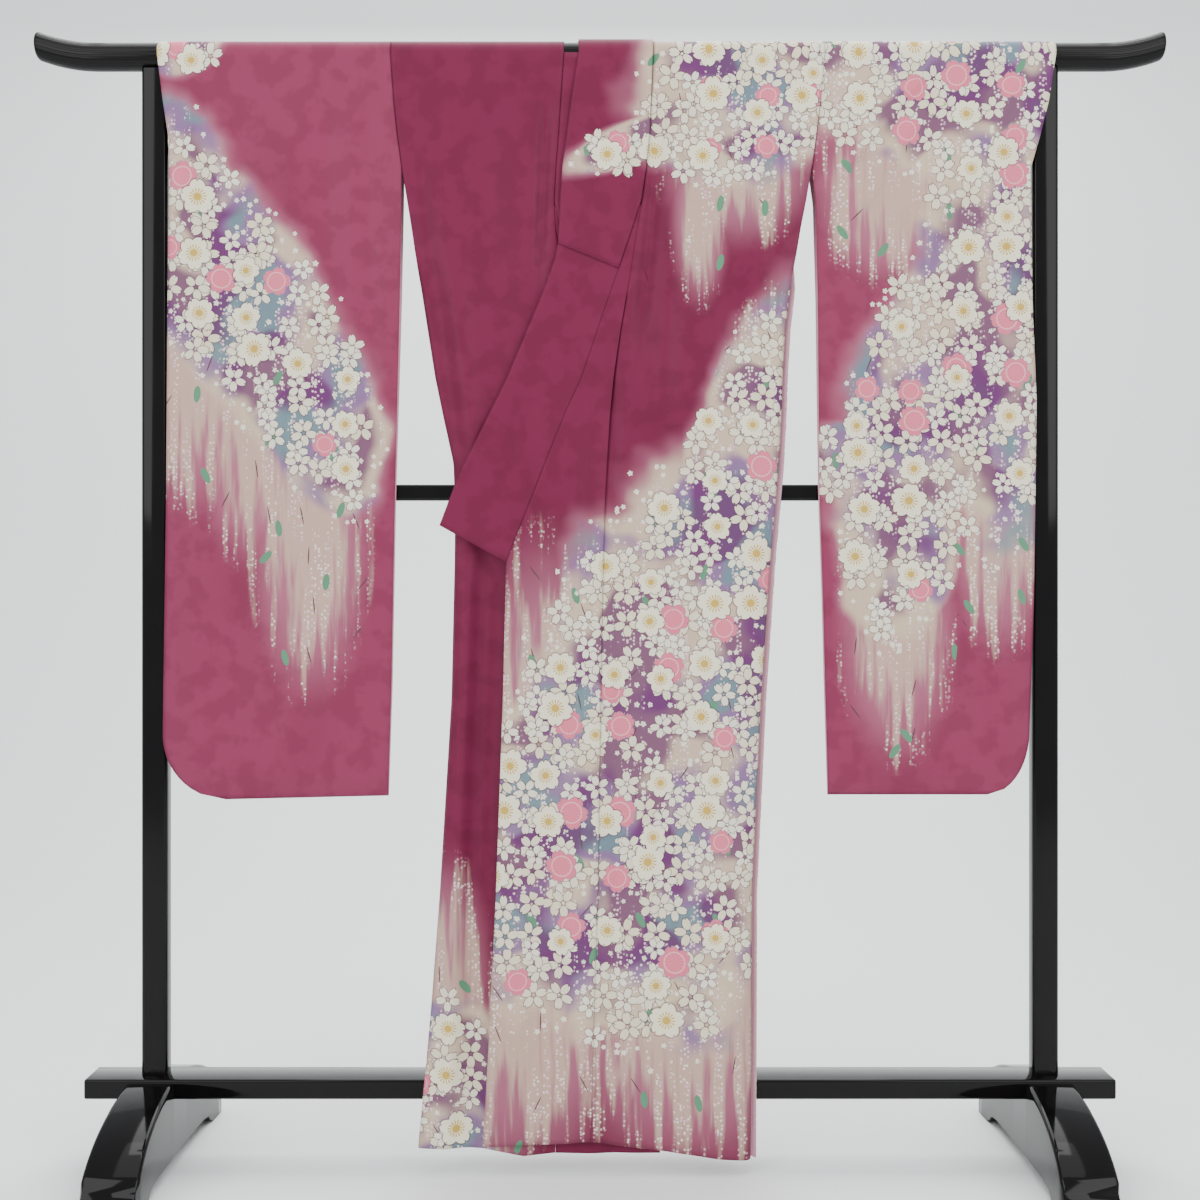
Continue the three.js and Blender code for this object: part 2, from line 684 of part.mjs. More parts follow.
// The overcollar is the left collar's own points, moved out by one more layer.
const overcollar = { ...leftCollar, lift: LAYER, from: OVERCOLLAR_END };
add("collar_right", collarBand(rightCollar), COLOURS.collar, silkRoughness);
add("collar_left", collarBand(leftCollar), COLOURS.collar, silkRoughness);
add("overcollar", collarBand(overcollar), COLOURS.collar, silkRoughness);
add("right_sleeve", sleeve(SLEEVE_RIGHT), COLOURS.sleeve, silkRoughness);
add("left_sleeve", sleeve(SLEEVE_LEFT), COLOURS.sleeve, silkRoughness);

const lacquerRoughness = 0.15;
add("stand_top_bar", topBar(0), COLOURS.lacquer, lacquerRoughness);
add("stand_middle_rail", middleRail(), COLOURS.lacquer, lacquerRoughness);
add("stand_base_beam", baseBeam(0), COLOURS.lacquer, lacquerRoughness);
for (const [side, sign] of [["right", -1], ["left", 1]]) {
  add(`stand_post_${side}`, post(sign), COLOURS.lacquer, lacquerRoughness);
  add(`stand_foot_${side}`, foot(sign), COLOURS.lacquer, lacquerRoughness);
}

export default garment;
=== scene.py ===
import math

import bmesh
import bpy
from mathutils import Matrix, Vector


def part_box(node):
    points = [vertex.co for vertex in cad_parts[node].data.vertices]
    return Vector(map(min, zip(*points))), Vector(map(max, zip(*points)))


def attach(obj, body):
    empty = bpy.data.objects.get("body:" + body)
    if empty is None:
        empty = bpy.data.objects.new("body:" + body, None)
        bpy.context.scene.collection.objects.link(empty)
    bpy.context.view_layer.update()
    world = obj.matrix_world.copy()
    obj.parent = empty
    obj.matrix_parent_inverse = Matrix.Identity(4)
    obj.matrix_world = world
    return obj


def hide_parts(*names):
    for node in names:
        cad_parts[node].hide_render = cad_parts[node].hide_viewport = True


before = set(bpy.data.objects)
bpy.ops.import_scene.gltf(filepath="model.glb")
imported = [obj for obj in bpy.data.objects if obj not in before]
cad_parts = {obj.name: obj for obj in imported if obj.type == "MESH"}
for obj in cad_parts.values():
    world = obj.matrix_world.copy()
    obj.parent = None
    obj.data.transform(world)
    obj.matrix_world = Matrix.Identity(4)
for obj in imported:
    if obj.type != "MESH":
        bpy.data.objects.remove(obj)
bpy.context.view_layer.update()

# ---- Camera, pale floor and soft studio light --------------------------------------
# A level camera looks straight at the fronts. The floor sweeps up into a pale backdrop.
# Two large soft lights stand at the sides, one hangs above and one lights the backdrop.
CAMERA_AT = (0, -2.37, 0.801)
CAMERA_LENS = 48.5  # in millimetres, on a 36 mm frame
CAMERA_RISE = 0.0125
SWEEP_LENGTH = 9.0
SWEEP_HALF_WIDTH = 6
SWEEP_FRONT_Y = -4.0
SWEEP_WALL_Y = 2.6
SWEEP_RADIUS = 1.2
LIGHTS_AIM = (0, 0.2, 0.8)
LIGHTS = [
    {"name": "left", "at": (-2.6, -2.9, 2.3), "size": 2.4, "watts": 62},
    {"name": "right", "at": (2.6, -2.9, 2.3), "size": 2.4, "watts": 66},
    {"name": "above", "at": (0, -0.6, 3.4), "size": 3.0, "watts": 42},
    {"name": "behind", "at": (0, 1.2, 3.2), "size": 2.6, "watts": 95},
]

camera_data = bpy.data.cameras.new("camera")
camera_data.lens = CAMERA_LENS
camera_data.sensor_width = 36
camera_data.shift_y = CAMERA_RISE
camera = bpy.data.objects.new("camera", camera_data)
camera.location = CAMERA_AT
camera.rotation_euler = (math.radians(90), 0, 0)
bpy.context.scene.collection.objects.link(camera)
bpy.context.scene.camera = camera


def new_object(name, bm, *materials):
    """The finished bmesh as an object of the scene, smooth shaded."""
    mesh = bpy.data.meshes.new(name)
    bm.to_mesh(mesh)
    bm.free()
    for material in materials:
        mesh.materials.append(material)
    mesh.shade_smooth()
    made = bpy.data.objects.new(name, mesh)
    bpy.context.scene.collection.objects.link(made)
    return made


def new_material(name):
    """A material with an empty node tree, and its Principled BSDF."""
    material = bpy.data.materials.new(name)
    material.use_nodes = True
    return material, material.node_tree, material.node_tree.nodes["Principled BSDF"]


paper, paper_tree, paper_shader = new_material("studio_paper")
paper_shader.inputs["Base Color"].default_value = (0.93, 0.95, 0.945, 1)
paper_shader.inputs["Roughness"].default_value = 0.75
sweep = bmesh.new()
bmesh.ops.create_grid(sweep, x_segments=8, y_segments=64, size=1)
for vert in sweep.verts:
    run = (vert.co.y + 1) * SWEEP_LENGTH / 2 + SWEEP_FRONT_Y
    start = SWEEP_WALL_Y - SWEEP_RADIUS
    if run < start:
        y, z = run, 0
    else:
        angle = min((run - start) / SWEEP_RADIUS, math.pi / 2)
        rise = max(0, run - start - SWEEP_RADIUS * math.pi / 2)
        y = start + SWEEP_RADIUS * math.sin(angle)
        z = SWEEP_RADIUS * (1 - math.cos(angle)) + rise
    vert.co = (vert.co.x * SWEEP_HALF_WIDTH, y, z)
floor = new_object("studio_sweep", sweep, paper)

for light in LIGHTS:
    data = bpy.data.lights.new(light["name"], "AREA")
    data.energy = light["watts"]
    data.size = light["size"]
    lamp = bpy.data.objects.new("light_" + light["name"], data)
    lamp.location = light["at"]
    aim = Vector(LIGHTS_AIM) - Vector(light["at"])
    lamp.rotation_euler = aim.to_track_quat("-Z", "Y").to_euler()
    bpy.context.scene.collection.objects.link(lamp)
world = bpy.data.worlds.new("studio")
world.use_nodes = True
world.node_tree.nodes["Background"].inputs["Color"].default_value = (0.93, 0.96, 1.0, 1)
world.node_tree.nodes["Background"].inputs["Strength"].default_value = 0.85
bpy.context.scene.world = world

# ---- Silk ----------------------------------------------------------------------------
# Rose crepe silk with a faint woven damask, hand dyed: pale haze and hanging sprays
# under cascades of white cherry, cream plum and pink double blossoms.
SHOULDER = 1.64  # height of the shoulder line, where the cloth turns over the bar
# The body's rose and the sleeves' rose are one silk: the sleeves' rose is painted lighter, painted light for
# the brighter sides of the rack, and the body's rose is painted shade for its dimmer middle.
ROSE = (0.160, 0.0145, 0.050, 1)
PAINTED_LIGHT_SLEEVE_ROSE = (0.245, 0.036, 0.086, 1)
CREAM = (0.60, 0.47, 0.34, 1)
LAVENDER = (0.22, 0.13, 0.28, 1)
SKY = (0.12, 0.22, 0.26, 1)
PURPLE = (0.12, 0.02, 0.11, 1)
BLUSH = (0.50, 0.19, 0.27, 1)
WHITE = (0.82, 0.78, 0.66, 1)
OUTLINE = (0.10, 0.045, 0.06, 1)
GOLD = (0.55, 0.33, 0.02, 1)
CORAL = (0.74, 0.16, 0.24, 1)
LEAF = (0.10, 0.26, 0.15, 1)


class Dye:
    """Short ways to add nodes to a tree and join them up."""

    def __init__(self, tree):
        self.tree = tree

    def add(self, kind, inputs=(), **settings):
        made = self.tree.nodes.new(kind)
        for key, value in settings.items():
            setattr(made, key, value)
        for key, value in dict(inputs).items():
            if isinstance(value, bpy.types.NodeSocket):
                self.tree.links.new(value, made.inputs[key])
            else:
                made.inputs[key].default_value = value
        return made

    def math(self, operation, *values):
        return self.add("ShaderNodeMath", enumerate(values), operation=operation).outputs[0]

    def vector(self, operation, *values):
        return self.add("ShaderNodeVectorMath", enumerate(values), operation=operation)

    def ramp(self, value, low, high):
        ends = {"Value": value, "From Min": low, "From Max": high}
        made = self.add("ShaderNodeMapRange", ends, interpolation_type="SMOOTHSTEP")
        return made.outputs["Result"]

    def paint(self, below, colour, share):
        made = self.add("ShaderNodeMix", {0: share, 6: below, 7: colour}, data_type="RGBA")
        return made.outputs[2]

    def noise(self, where, scale, detail=2.0):
        inputs = {"Vector": where, "Scale": scale, "Detail": detail}
        return self.add("ShaderNodeTexNoise", inputs, noise_dimensions="2D").outputs[0]

    def cells(self, where, scale, shift, randomness):
        moved = self.vector("ADD", where, (shift, shift * 0.7, 0)).outputs[0]
        inputs = {"Vector": moved, "Scale": scale, "Randomness": randomness}
        made = self.add("ShaderNodeTexVoronoi", inputs, voronoi_dimensions="2D")
        back = (-shift, -shift * 0.7, 0)
        centre = self.vector("ADD", made.outputs["Position"], back).outputs[0]
        return centre, made.outputs["Color"]


def zone_group(name, ovals):
    """1 in the middle of the widest oval at a point, falling to 0 at its edge."""
    group = bpy.data.node_groups.new(name, "ShaderNodeTree")
    group.interface.new_socket("Point", in_out="INPUT", socket_type="NodeSocketVector")
    group.interface.new_socket("Inside", in_out="OUTPUT", socket_type="NodeSocketFloat")
    dye = Dye(group)
    point = dye.add("NodeGroupInput").outputs[0]
    parts = dye.add("ShaderNodeSeparateXYZ", {0: point})
    down = dye.math("ABSOLUTE", dye.math("SUBTRACT", parts.outputs[1], SHOULDER))
    height = dye.math("SUBTRACT", SHOULDER, down)
    place = dye.add("ShaderNodeCombineXYZ", {0: parts.outputs[0], 1: height}).outputs[0]
    widest = -1.0
    for oval in ovals:
        inputs = {
            "Vector": place,
            "Location": (oval["x"], oval["z"], 0),
            "Rotation": (0, 0, math.radians(oval["tilt"])),
            "Scale": (oval["across"], oval["up"], 1),
        }
        local = dye.add("ShaderNodeMapping", inputs, vector_type="TEXTURE").outputs[0]
        out = dye.vector("LENGTH", local).outputs["Value"]
        widest = dye.math("MAXIMUM", widest, dye.math("SUBTRACT", 1.0, out))
    made = dye.add("NodeGroupOutput")
    group.links.new(widest, made.inputs[0])
    return group


def blossom_group():
    """A five-petalled flower: how far inside a petal a point is, and its radius."""
    group = bpy.data.node_groups.new("blossom", "ShaderNodeTree")
    socket = group.interface.new_socket
    socket("From centre", in_out="INPUT", socket_type="NodeSocketVector")
    socket("Radius", in_out="INPUT", socket_type="NodeSocketFloat")
    socket("Turn", in_out="INPUT", socket_type="NodeSocketFloat")
    socket("Petal width", in_out="INPUT", socket_type="NodeSocketFloat")
    socket("Petal", in_out="OUTPUT", socket_type="NodeSocketFloat")
    socket("Out", in_out="OUTPUT", socket_type="NodeSocketFloat")
    socket("Ray", in_out="OUTPUT", socket_type="NodeSocketFloat")
    dye = Dye(group)
    given = dye.add("NodeGroupInput").outputs
    parts = dye.add("ShaderNodeSeparateXYZ", {0: given[0]})
    out = dye.math("DIVIDE", dye.vector("LENGTH", given[0]).outputs["Value"], given[1])
    angle = dye.math("ARCTAN2", parts.outputs[1], parts.outputs[0])
    turned = dye.math("MULTIPLY_ADD", angle, 5 / math.tau, dye.math("MULTIPLY", given[2], 5.0))
    petal = dye.math("SUBTRACT", dye.math("FRACT", dye.math("ADD", turned, 20.0)), 0.5)
    bend = dye.math("MULTIPLY", petal, math.tau / 5)
    along = dye.math("MULTIPLY", out, dye.math("COSINE", bend))
    aside = dye.math("MULTIPLY", dye.math("ABSOLUTE", dye.math("SINE", bend)), out)
    egg_x = dye.math("DIVIDE", dye.math("SUBTRACT", along, 0.57), 0.43)
    egg_y = dye.math("DIVIDE", aside, given[3])
    squares = dye.math("MULTIPLY_ADD", egg_x, egg_x, dye.math("MULTIPLY", egg_y, egg_y))
    inside_egg = dye.math("SUBTRACT", 1.0, dye.math("SQRT", squares))
    notch = dye.math("SUBTRACT", dye.math("MULTIPLY_ADD", aside, 1.5, 0.86), along)
    depth = dye.math("MINIMUM", inside_egg, dye.math("MULTIPLY", notch, 2.2))
    ray = dye.math("ABSOLUTE", dye.math("SINE", dye.math("MULTIPLY", turned, math.pi * 3)))
    made = dye.add("NodeGroupOutput")
    for k, value in enumerate((depth, out, ray)):
        group.links.new(value, made.inputs[k])
    return group


blossom = blossom_group()

# Kinds of flower, the lowest first: cells to the metre, radius, where the cells start.
# keep is how full a place must be for a flower to stand in it, and part how many do.
FLOWERS = [
    {"kind": "spray", "cells": 105, "radius": 0.0042, "shift": 3.1, "keep": 0.02, "part": 0.16},
    {"kind": "cherry", "cells": 23.5, "radius": 0.0205, "shift": 1.3, "keep": 0.12, "part": 0.74},
    {"kind": "cherry", "cells": 22.5, "radius": 0.0200, "shift": 5.7, "keep": 0.18, "part": 0.70},
    {"kind": "pink", "cells": 14.0, "radius": 0.0215, "shift": 8.2, "keep": 0.34, "part": 0.50},
    {"kind": "plum", "cells": 13.5, "radius": 0.0245, "shift": 2.6, "keep": 0.20, "part": 0.62},
]
PETAL_WIDTH = {"spray": 0.30, "cherry": 0.285, "pink": 0.42, "plum": 0.44}


PALE_CHERRY = (0.76, 0.68, 0.50, 1)
PALE_PLUM = (0.84, 0.80, 0.60, 1)
PALE_CORAL = (0.80, 0.50, 0.50, 1)
PALE_PINK = (0.72, 0.40, 0.52, 1)

# Short strokes among the sprays: slimness, half length, cells to the metre, where the
# cells start, and the part of the cells that holds one.
STROKES = [
    {"slim": 0.07, "colour": OUTLINE, "half": 0.013, "cells": 15, "shift": 6.3, "part": 0.45},
    {"slim": 0.42, "colour": LEAF, "half": 0.012, "cells": 11, "shift": 9.5, "part": 0.55},
]
SPECK_RADIUS = 0.0017


def woven_ground(dye, where, mottle, ground):
    """The ground colour with its damask: deeper patches in a small and a large size."""
    deep = (ground[0] * 0.68, ground[1] * 0.55, ground[2] * 0.62, 1)
    cloud = dye.noise(where, 5.5, 3)
    base = dye.paint(deep, ground, dye.ramp(mottle, 0.40, 0.56))
    base = dye.paint(ground, base, 0.4)
    return dye.paint(base, deep, dye.math("MULTIPLY", dye.ramp(cloud, 0.5, 0.8), 0.3))


def fullness(dye, group, point):
    """How far inside a zone a point is."""
    made = dye.add("ShaderNodeGroup", node_tree=group)
    dye.tree.links.new(point, made.inputs[0])
    return made.outputs[0]


def haze_and_drips(dye, where, base, full, fall, streak):
    """The pale wash under the blossoms, and the drips that hang from it."""
    need = dye.math("MULTIPLY_ADD", fall, -0.62, 0.70)
    drip = dye.ramp(dye.math("SUBTRACT", streak, need), -0.08, 0.20)
    drip = dye.math("MULTIPLY", drip, dye.ramp(fall, 0.0, 0.12))
    glow = dye.math("MAXIMUM", dye.ramp(full, -0.16, 0.12), dye.ramp(fall, -0.02, 0.55))
    base = dye.paint(base, BLUSH, dye.math("MULTIPLY", glow, 0.55))
    base = dye.paint(base, CREAM, dye.math("MULTIPLY", drip, 0.66))
    tint = dye.noise(dye.vector("ADD", where, (7, 3, 0)).outputs[0], 7, 2)
    haze = dye.paint(CREAM, LAVENDER, dye.ramp(tint, 0.44, 0.56))
    haze = dye.paint(haze, SKY, dye.ramp(tint, 0.57, 0.64))
    base = dye.paint(base, haze, dye.math("MULTIPLY", dye.ramp(full, -0.02, 0.16), 0.9))
    dark = dye.noise(dye.vector("ADD", where, (2, 9, 0)).outputs[0], 10, 1)
    deep = dye.math("MULTIPLY", dye.ramp(dark, 0.44, 0.56), dye.ramp(full, 0.16, 0.34))
    return dye.paint(base, PURPLE, dye.math("MULTIPLY", deep, 0.85))


def tiny_petals(dye, where, base, streak, room):
    """Hanging sprays: rows of tiny petals, white and pink."""
    centre, chance = dye.cells(where, 210, 4.4, 1.0)
    speck = dye.vector("DISTANCE", where, centre).outputs["Value"]
    picked = dye.add("ShaderNodeSeparateColor", {0: chance}).outputs
    dot = dye.math("LESS_THAN", speck, SPECK_RADIUS)
    dot = dye.math("MULTIPLY", dot, dye.math("LESS_THAN", picked[0], 0.5))
    rows = dye.math("MULTIPLY", dye.ramp(streak, 0.50, 0.60), dye.ramp(room, 0.02, 0.2))
    tone = dye.paint(WHITE, PALE_PINK, picked[1])
    return dye.paint(base, tone, dye.math("MULTIPLY", dot, rows))


def twigs_and_leaves(dye, where, base, room):
    """Short leaning strokes of the brush, wherever the pattern has room."""
    for stroke in STROKES:
        centre, chance = dye.cells(where, stroke["cells"], stroke["shift"], 0.9)
        picked = dye.add("ShaderNodeSeparateColor", {0: chance}).outputs
        away = dye.vector("SUBTRACT", where, centre).outputs[0]
        lean = dye.math("MULTIPLY_ADD", picked[1], 1.6, 0.8)
        turn = {0: away, "Angle": lean}
        turned = dye.add("ShaderNodeVectorRotate", turn, rotation_type="Z_AXIS").outputs[0]
        half_sizes = (stroke["half"], stroke["half"] * stroke["slim"], 1)
        scaled = dye.vector("DIVIDE", turned, half_sizes).outputs[0]
        near = dye.math("LESS_THAN", dye.vector("LENGTH", scaled).outputs["Value"], 1.0)
        there = dye.math("LESS_THAN", picked[0], stroke["part"])
        there = dye.math("MULTIPLY", there, dye.math("GREATER_THAN", room, 0.1))
        base = dye.paint(base, stroke["colour"], dye.math("MULTIPLY", near, there))
    return base


def cherry(dye, base, edge, fill, out, ray, toned):
    """Pale petals with a dark outline and fine dark stamens."""
    vein = dye.math("MULTIPLY", dye.ramp(ray, 0.22, 0.05), dye.ramp(out, 0.42, 0.3))
    vein = dye.math("MULTIPLY", vein, fill)
    base = dye.paint(base, OUTLINE, dye.math("MULTIPLY", edge, 0.8))
    base = dye.paint(base, dye.paint(WHITE, PALE_CHERRY, toned), fill)
    return dye.paint(base, OUTLINE, dye.math("MULTIPLY", vein, 0.6))


def pink_double(dye, base, edge, fill, out, ray, there):
    """Full coral petals, with pale lines and a pale ring."""
    disc = dye.math("MULTIPLY", dye.math("LESS_THAN", out, 0.70), there)
    lines = dye.math("MULTIPLY", dye.ramp(ray, 0.25, 0.1), 0.7)
    marks = dye.math("MAXIMUM", lines, dye.math("COMPARE", out, 0.62, 0.04))
    marks = dye.math("MULTIPLY", marks, disc)
    base = dye.paint(base, BLUSH, edge)
    base = dye.paint(base, CORAL, fill)
    base = dye.paint(base, CORAL, disc)
    return dye.paint(base, PALE_CORAL, dye.math("MULTIPLY", marks, 0.7))


def plum(dye, base, edge, fill, out, ray, there):
    """Round cream petals round a crown of gold stamens."""
    disc = dye.math("MULTIPLY", dye.math("LESS_THAN", out, 0.72), there)
    base = dye.paint(base, OUTLINE, dye.math("MULTIPLY", edge, 0.6))
    base = dye.paint(base, PALE_PLUM, dye.math("MAXIMUM", fill, disc))
    crown = dye.math("MULTIPLY", dye.ramp(out, 0.50, 0.44), there)
    crown = dye.math("MULTIPLY", crown, dye.math("LESS_THAN", ray, 0.62))
    heart = dye.math("MULTIPLY", dye.ramp(out, 0.24, 0.18), there)
    crown = dye.math("MAXIMUM", crown, heart)
    return dye.paint(base, GOLD, dye.math("MULTIPLY", crown, 0.9))


def blossoms(dye, where, base, standing):
    """Every kind of flower, each whole: a flower stands if its middle is in a zone."""
    for row in FLOWERS:
        centre, chance = dye.cells(where, row["cells"], row["shift"], 0.62)
        picked = dye.add("ShaderNodeSeparateColor", {0: chance}).outputs
        size = dye.math("MULTIPLY_ADD", picked[1], row["radius"] * 0.3, row["radius"] * 0.8)
        away = dye.vector("SUBTRACT", where, centre).outputs[0]
        flower = dye.add("ShaderNodeGroup", node_tree=blossom)
        for socket, value in enumerate((away, size, picked[2])):
            dye.tree.links.new(value, flower.inputs[socket])
        flower.inputs[3].default_value = PETAL_WIDTH[row["kind"]]
        stood = dye.math("MULTIPLY_ADD", picked[2], 0.16, fullness(dye, standing, centre))
        there = dye.math("GREATER_THAN", stood, row["keep"] + 0.06)
        there = dye.math("MULTIPLY", there, dye.math("LESS_THAN", picked[0], row["part"]))
        petal, out, ray = flower.outputs
        edge = dye.math("MULTIPLY", dye.math("GREATER_THAN", petal, -0.09), there)
        fill = dye.math("MULTIPLY", dye.math("GREATER_THAN", petal, 0.07), there)
        if row["kind"] == "cherry":
            base = cherry(dye, base, edge, fill, out, ray, picked[1])
        elif row["kind"] == "pink":
            base = pink_double(dye, base, edge, fill, out, ray, there)
        elif row["kind"] == "plum":
            base = plum(dye, base, edge, fill, out, ray, there)
        else:
            base = dye.paint(base, WHITE, edge)
    return base


def silk(name, flowers, falls, ground=ROSE):
    """One piece's dyed silk: where its blossoms stand and where its sprays hang."""
    material, tree, shader = new_material(name)
    dye = Dye(tree)
    where = dye.add("ShaderNodeUVMap", uv_map="cloth").outputs[0]
    mottle = dye.noise(where, 26, 4)
    base = woven_ground(dye, where, mottle, ground)
    if flowers:
        standing = zone_group(name + "_flowers", flowers)
        hanging = zone_group(name + "_falls", falls)
        wobble = dye.math("MULTIPLY_ADD", dye.noise(where, 9, 2), 0.5, -0.25)
        full = dye.math("ADD", fullness(dye, standing, where), wobble)
        fall = fullness(dye, hanging, where)
        room = dye.math("MAXIMUM", full, fall)
        streak = dye.noise(dye.vector("MULTIPLY", where, (62, 5.5, 1)).outputs[0], 1.0, 3)
        base = haze_and_drips(dye, where, base, full, fall, streak)
        base = tiny_petals(dye, where, base, streak, room)
        base = twigs_and_leaves(dye, where, base, room)
        base = blossoms(dye, where, base, standing)
    tree.links.new(base, shader.inputs["Base Color"])
    shader.inputs["Roughness"].default_value = 0.52
    shader.inputs["Specular IOR Level"].default_value = 0.14
    shader.inputs["Sheen Weight"].default_value = 0.02
    shader.inputs["Sheen Roughness"].default_value = 0.4
    shader.inputs["Sheen Tint"].default_value = (1.0, 0.75, 0.85, 1)
    crepe = dye.math("MULTIPLY", dye.noise(where, 900, 1), 0.25)
    height = dye.math("MULTIPLY_ADD", mottle, 0.5, crepe)
    bump = dye.add("ShaderNodeBump", {"Height": height, "Strength": 0.12, "Distance": 0.001})
    tree.links.new(bump.outputs[0], shader.inputs["Normal"])
    return material


lining, lining_tree, lining_shader = new_material("pale_pink_lining")
lining_dye = Dye(lining_tree)
lining_where = lining_dye.add("ShaderNodeUVMap", uv_map="cloth").outputs[0]
lining_grain = lining_dye.noise(lining_where, 320, 2)
lining_tone = lining_dye.paint((0.55, 0.24, 0.32, 1), (0.66, 0.36, 0.42, 1), lining_grain)
lining_tree.links.new(lining_tone, lining_shader.inputs["Base Color"])
lining_shader.inputs["Roughness"].default_value = 0.6

# ---- Body halves -----------------------------------------------------------------------
# Each half is one length of silk from the front hem over the shoulder to the back hem,
# joined at the centre back and sewn up the side to the opening under the sleeve.
BAR_Z = 1.6185
WRAP = 0.022  # outer radius of the first layer over the bar
THICK = 0.001
LAYER = 0.0016  # how far apart layers lie where they are pressed together
SEAM = 0.0003  # the gap between pieces at a seam
HALF_PAIR = 0.0012  # from a seam's middle to the outer face of either layer
CENTRE_BACK = 0.010
NECKLINE = 1.592
SIDE_SEAM = 1.265  # top of the sewn side, where the opening under the sleeve starts
SIDE_OPENING = 0.07  # height over which the two layers part above it
SIDE_ROUND = 0.045  # how far in from the side the hollow reaches its full depth
TUCK_Z = 1.270
HEM_Z = 0.020  # lowest row of the tables
HEM_REACH = 0.20  # the hem's curve has faded out at this height
SLACK_FROM = 1.49  # troughs fade out from here up to SLACK_TO, where the bar fills them
SLACK_TO = 1.57
ROW_STEP = 0.009
BAR_TURNS = 20
BODY_COLUMNS = 52

# Y of each layer's outer face at the middle of a panel, by height.
DEPTH = [
    {"z": 0.020, "rear": -0.038, "under": -0.058, "over": -0.070, "side": -0.050},
    {"z": 0.130, "rear": -0.0375, "under": -0.056, "over": -0.067, "side": -0.048},
    {"z": 0.400, "rear": -0.028, "under": -0.050, "over": -0.061, "side": -0.039},
    {"z": 0.700, "rear": -0.0195, "under": -0.040, "over": -0.052, "side": -0.029},
    {"z": 0.980, "rear": -0.012, "under": -0.031, "over": -0.043, "side": -0.021},
    {"z": 1.111, "rear": -0.005, "under": -0.0275, "over": -0.037, "side": -0.016},
    {"z": 1.265, "rear": 0.002, "under": -0.025, "over": -0.032, "side": -0.011},
    {"z": 1.402, "rear": 0.009, "under": -0.0235, "over": -0.0275, "side": -0.008},
    {"z": 1.500, "rear": 0.015, "under": -0.0227, "over": -0.025, "side": -0.005},
    {"z": 1.560, "rear": 0.019, "under": -0.0223, "over": -0.0236, "side": -0.002},
    {"z": BAR_Z, "rear": WRAP, "under": -WRAP, "over": -WRAP, "side": 0.0},
]
# X of the seams and edges: front panel's inner seam, side, and the overlap's free edge.
RIGHT = [
    {"z": 0.020, "inner": -0.064, "side": -0.261, "free": 0.086},
    {"z": 0.250, "inner": -0.050, "side": -0.242, "free": 0.096},
    {"z": 0.400, "inner": -0.041, "side": -0.231, "free": 0.102},
    {"z": 0.680, "inner": -0.028, "side": -0.215, "free": 0.112},
    {"z": 0.877, "inner": -0.020, "side": -0.211, "free": 0.120},
    {"z": 0.952, "inner": -0.014, "side": -0.2105, "free": 0.092},
    {"z": 1.021, "inner": -0.008, "side": -0.213, "free": 0.068},
    {"z": 1.089, "inner": -0.010, "side": -0.228, "free": 0.044},
    {"z": 1.146, "inner": -0.018, "side": -0.240, "free": 0.022},
    {"z": 1.215, "inner": -0.032, "side": -0.251, "free": -0.005},
    {"z": 1.303, "inner": -0.052, "side": -0.265, "free": -0.040},
    {"z": 1.362, "inner": -0.064, "side": -0.2735, "free": -0.058},
    {"z": 1.402, "inner": -0.067, "side": -0.280, "free": -0.0665},
    {"z": 1.449, "inner": -0.0643, "side": -0.288, "free": -0.064},
    {"z": 1.500, "inner": -0.0603, "side": -0.295, "free": -0.060},
    {"z": 1.548, "inner": -0.0573, "side": -0.300, "free": -0.057},
    {"z": BAR_Z, "inner": -0.0523, "side": -0.305, "free": -0.052},
]
LEFT = [
    {"z": 0.020, "inner": -0.013, "side": 0.216, "free": -0.167},
    {"z": 0.250, "inner": -0.008, "side": 0.218, "free": -0.156},
    {"z": 0.400, "inner": -0.003, "side": 0.219, "free": -0.149},
    {"z": 0.680, "inner": 0.001, "side": 0.233, "free": -0.1395},
    {"z": 0.877, "inner": 0.0045, "side": 0.247, "free": -0.135},
    {"z": 0.952, "inner": 0.007, "side": 0.254, "free": -0.106},
    {"z": 1.021, "inner": 0.0105, "side": 0.260, "free": -0.079},
    {"z": 1.089, "inner": 0.0145, "side": 0.264, "free": -0.052},
    {"z": 1.146, "inner": 0.020, "side": 0.266, "free": -0.026},
    {"z": 1.215, "inner": 0.030, "side": 0.270, "free": -0.003},
    {"z": 1.303, "inner": 0.045, "side": 0.281, "free": 0.027},
    {"z": 1.362, "inner": 0.0535, "side": 0.291, "free": 0.047},
    {"z": 1.402, "inner": 0.061, "side": 0.299, "free": 0.060},
    {"z": 1.449, "inner": 0.0673, "side": 0.307, "free": 0.067},
    {"z": 1.500, "inner": 0.0723, "side": 0.314, "free": 0.072},
    {"z": 1.548, "inner": 0.0743, "side": 0.320, "free": 0.074},
    {"z": BAR_Z, "inner": 0.0773, "side": 0.327, "free": 0.077},
]
HEM = [
    {"x": -0.261, "under": 0.037, "over": 0.040, "rear": 0.038},
    {"x": -0.166, "under": 0.038, "over": 0.044, "rear": 0.034},
    {"x": -0.110, "under": 0.027, "over": 0.046, "rear": 0.033},
    {"x": -0.066, "under": 0.032, "over": 0.048, "rear": 0.034},
    {"x": -0.013, "under": 0.031, "over": 0.051, "rear": 0.036},
    {"x": 0.086, "under": 0.032, "over": 0.038, "rear": 0.034},
    {"x": 0.226, "under": 0.032, "over": 0.020, "rear": 0.022},
]


def read(table, column, where, key="z"):
    """The value of a column, on straight lines between a table's rows."""
    k = 0
    while k < len(table) - 2 and where > table[k + 1][key]:
        k += 1
    low, high = table[k], table[k + 1]
    share = min(1.0, max(0.0, (where - low[key]) / (high[key] - low[key])))
    return low[column] + share * (high[column] - low[column])


def mix(a, b, share):
    return a + (b - a) * share


def ease(value, low, high):
    share = min(1.0, max(0.0, (value - low) / (high - low)))
    return share * share * (3 - 2 * share)


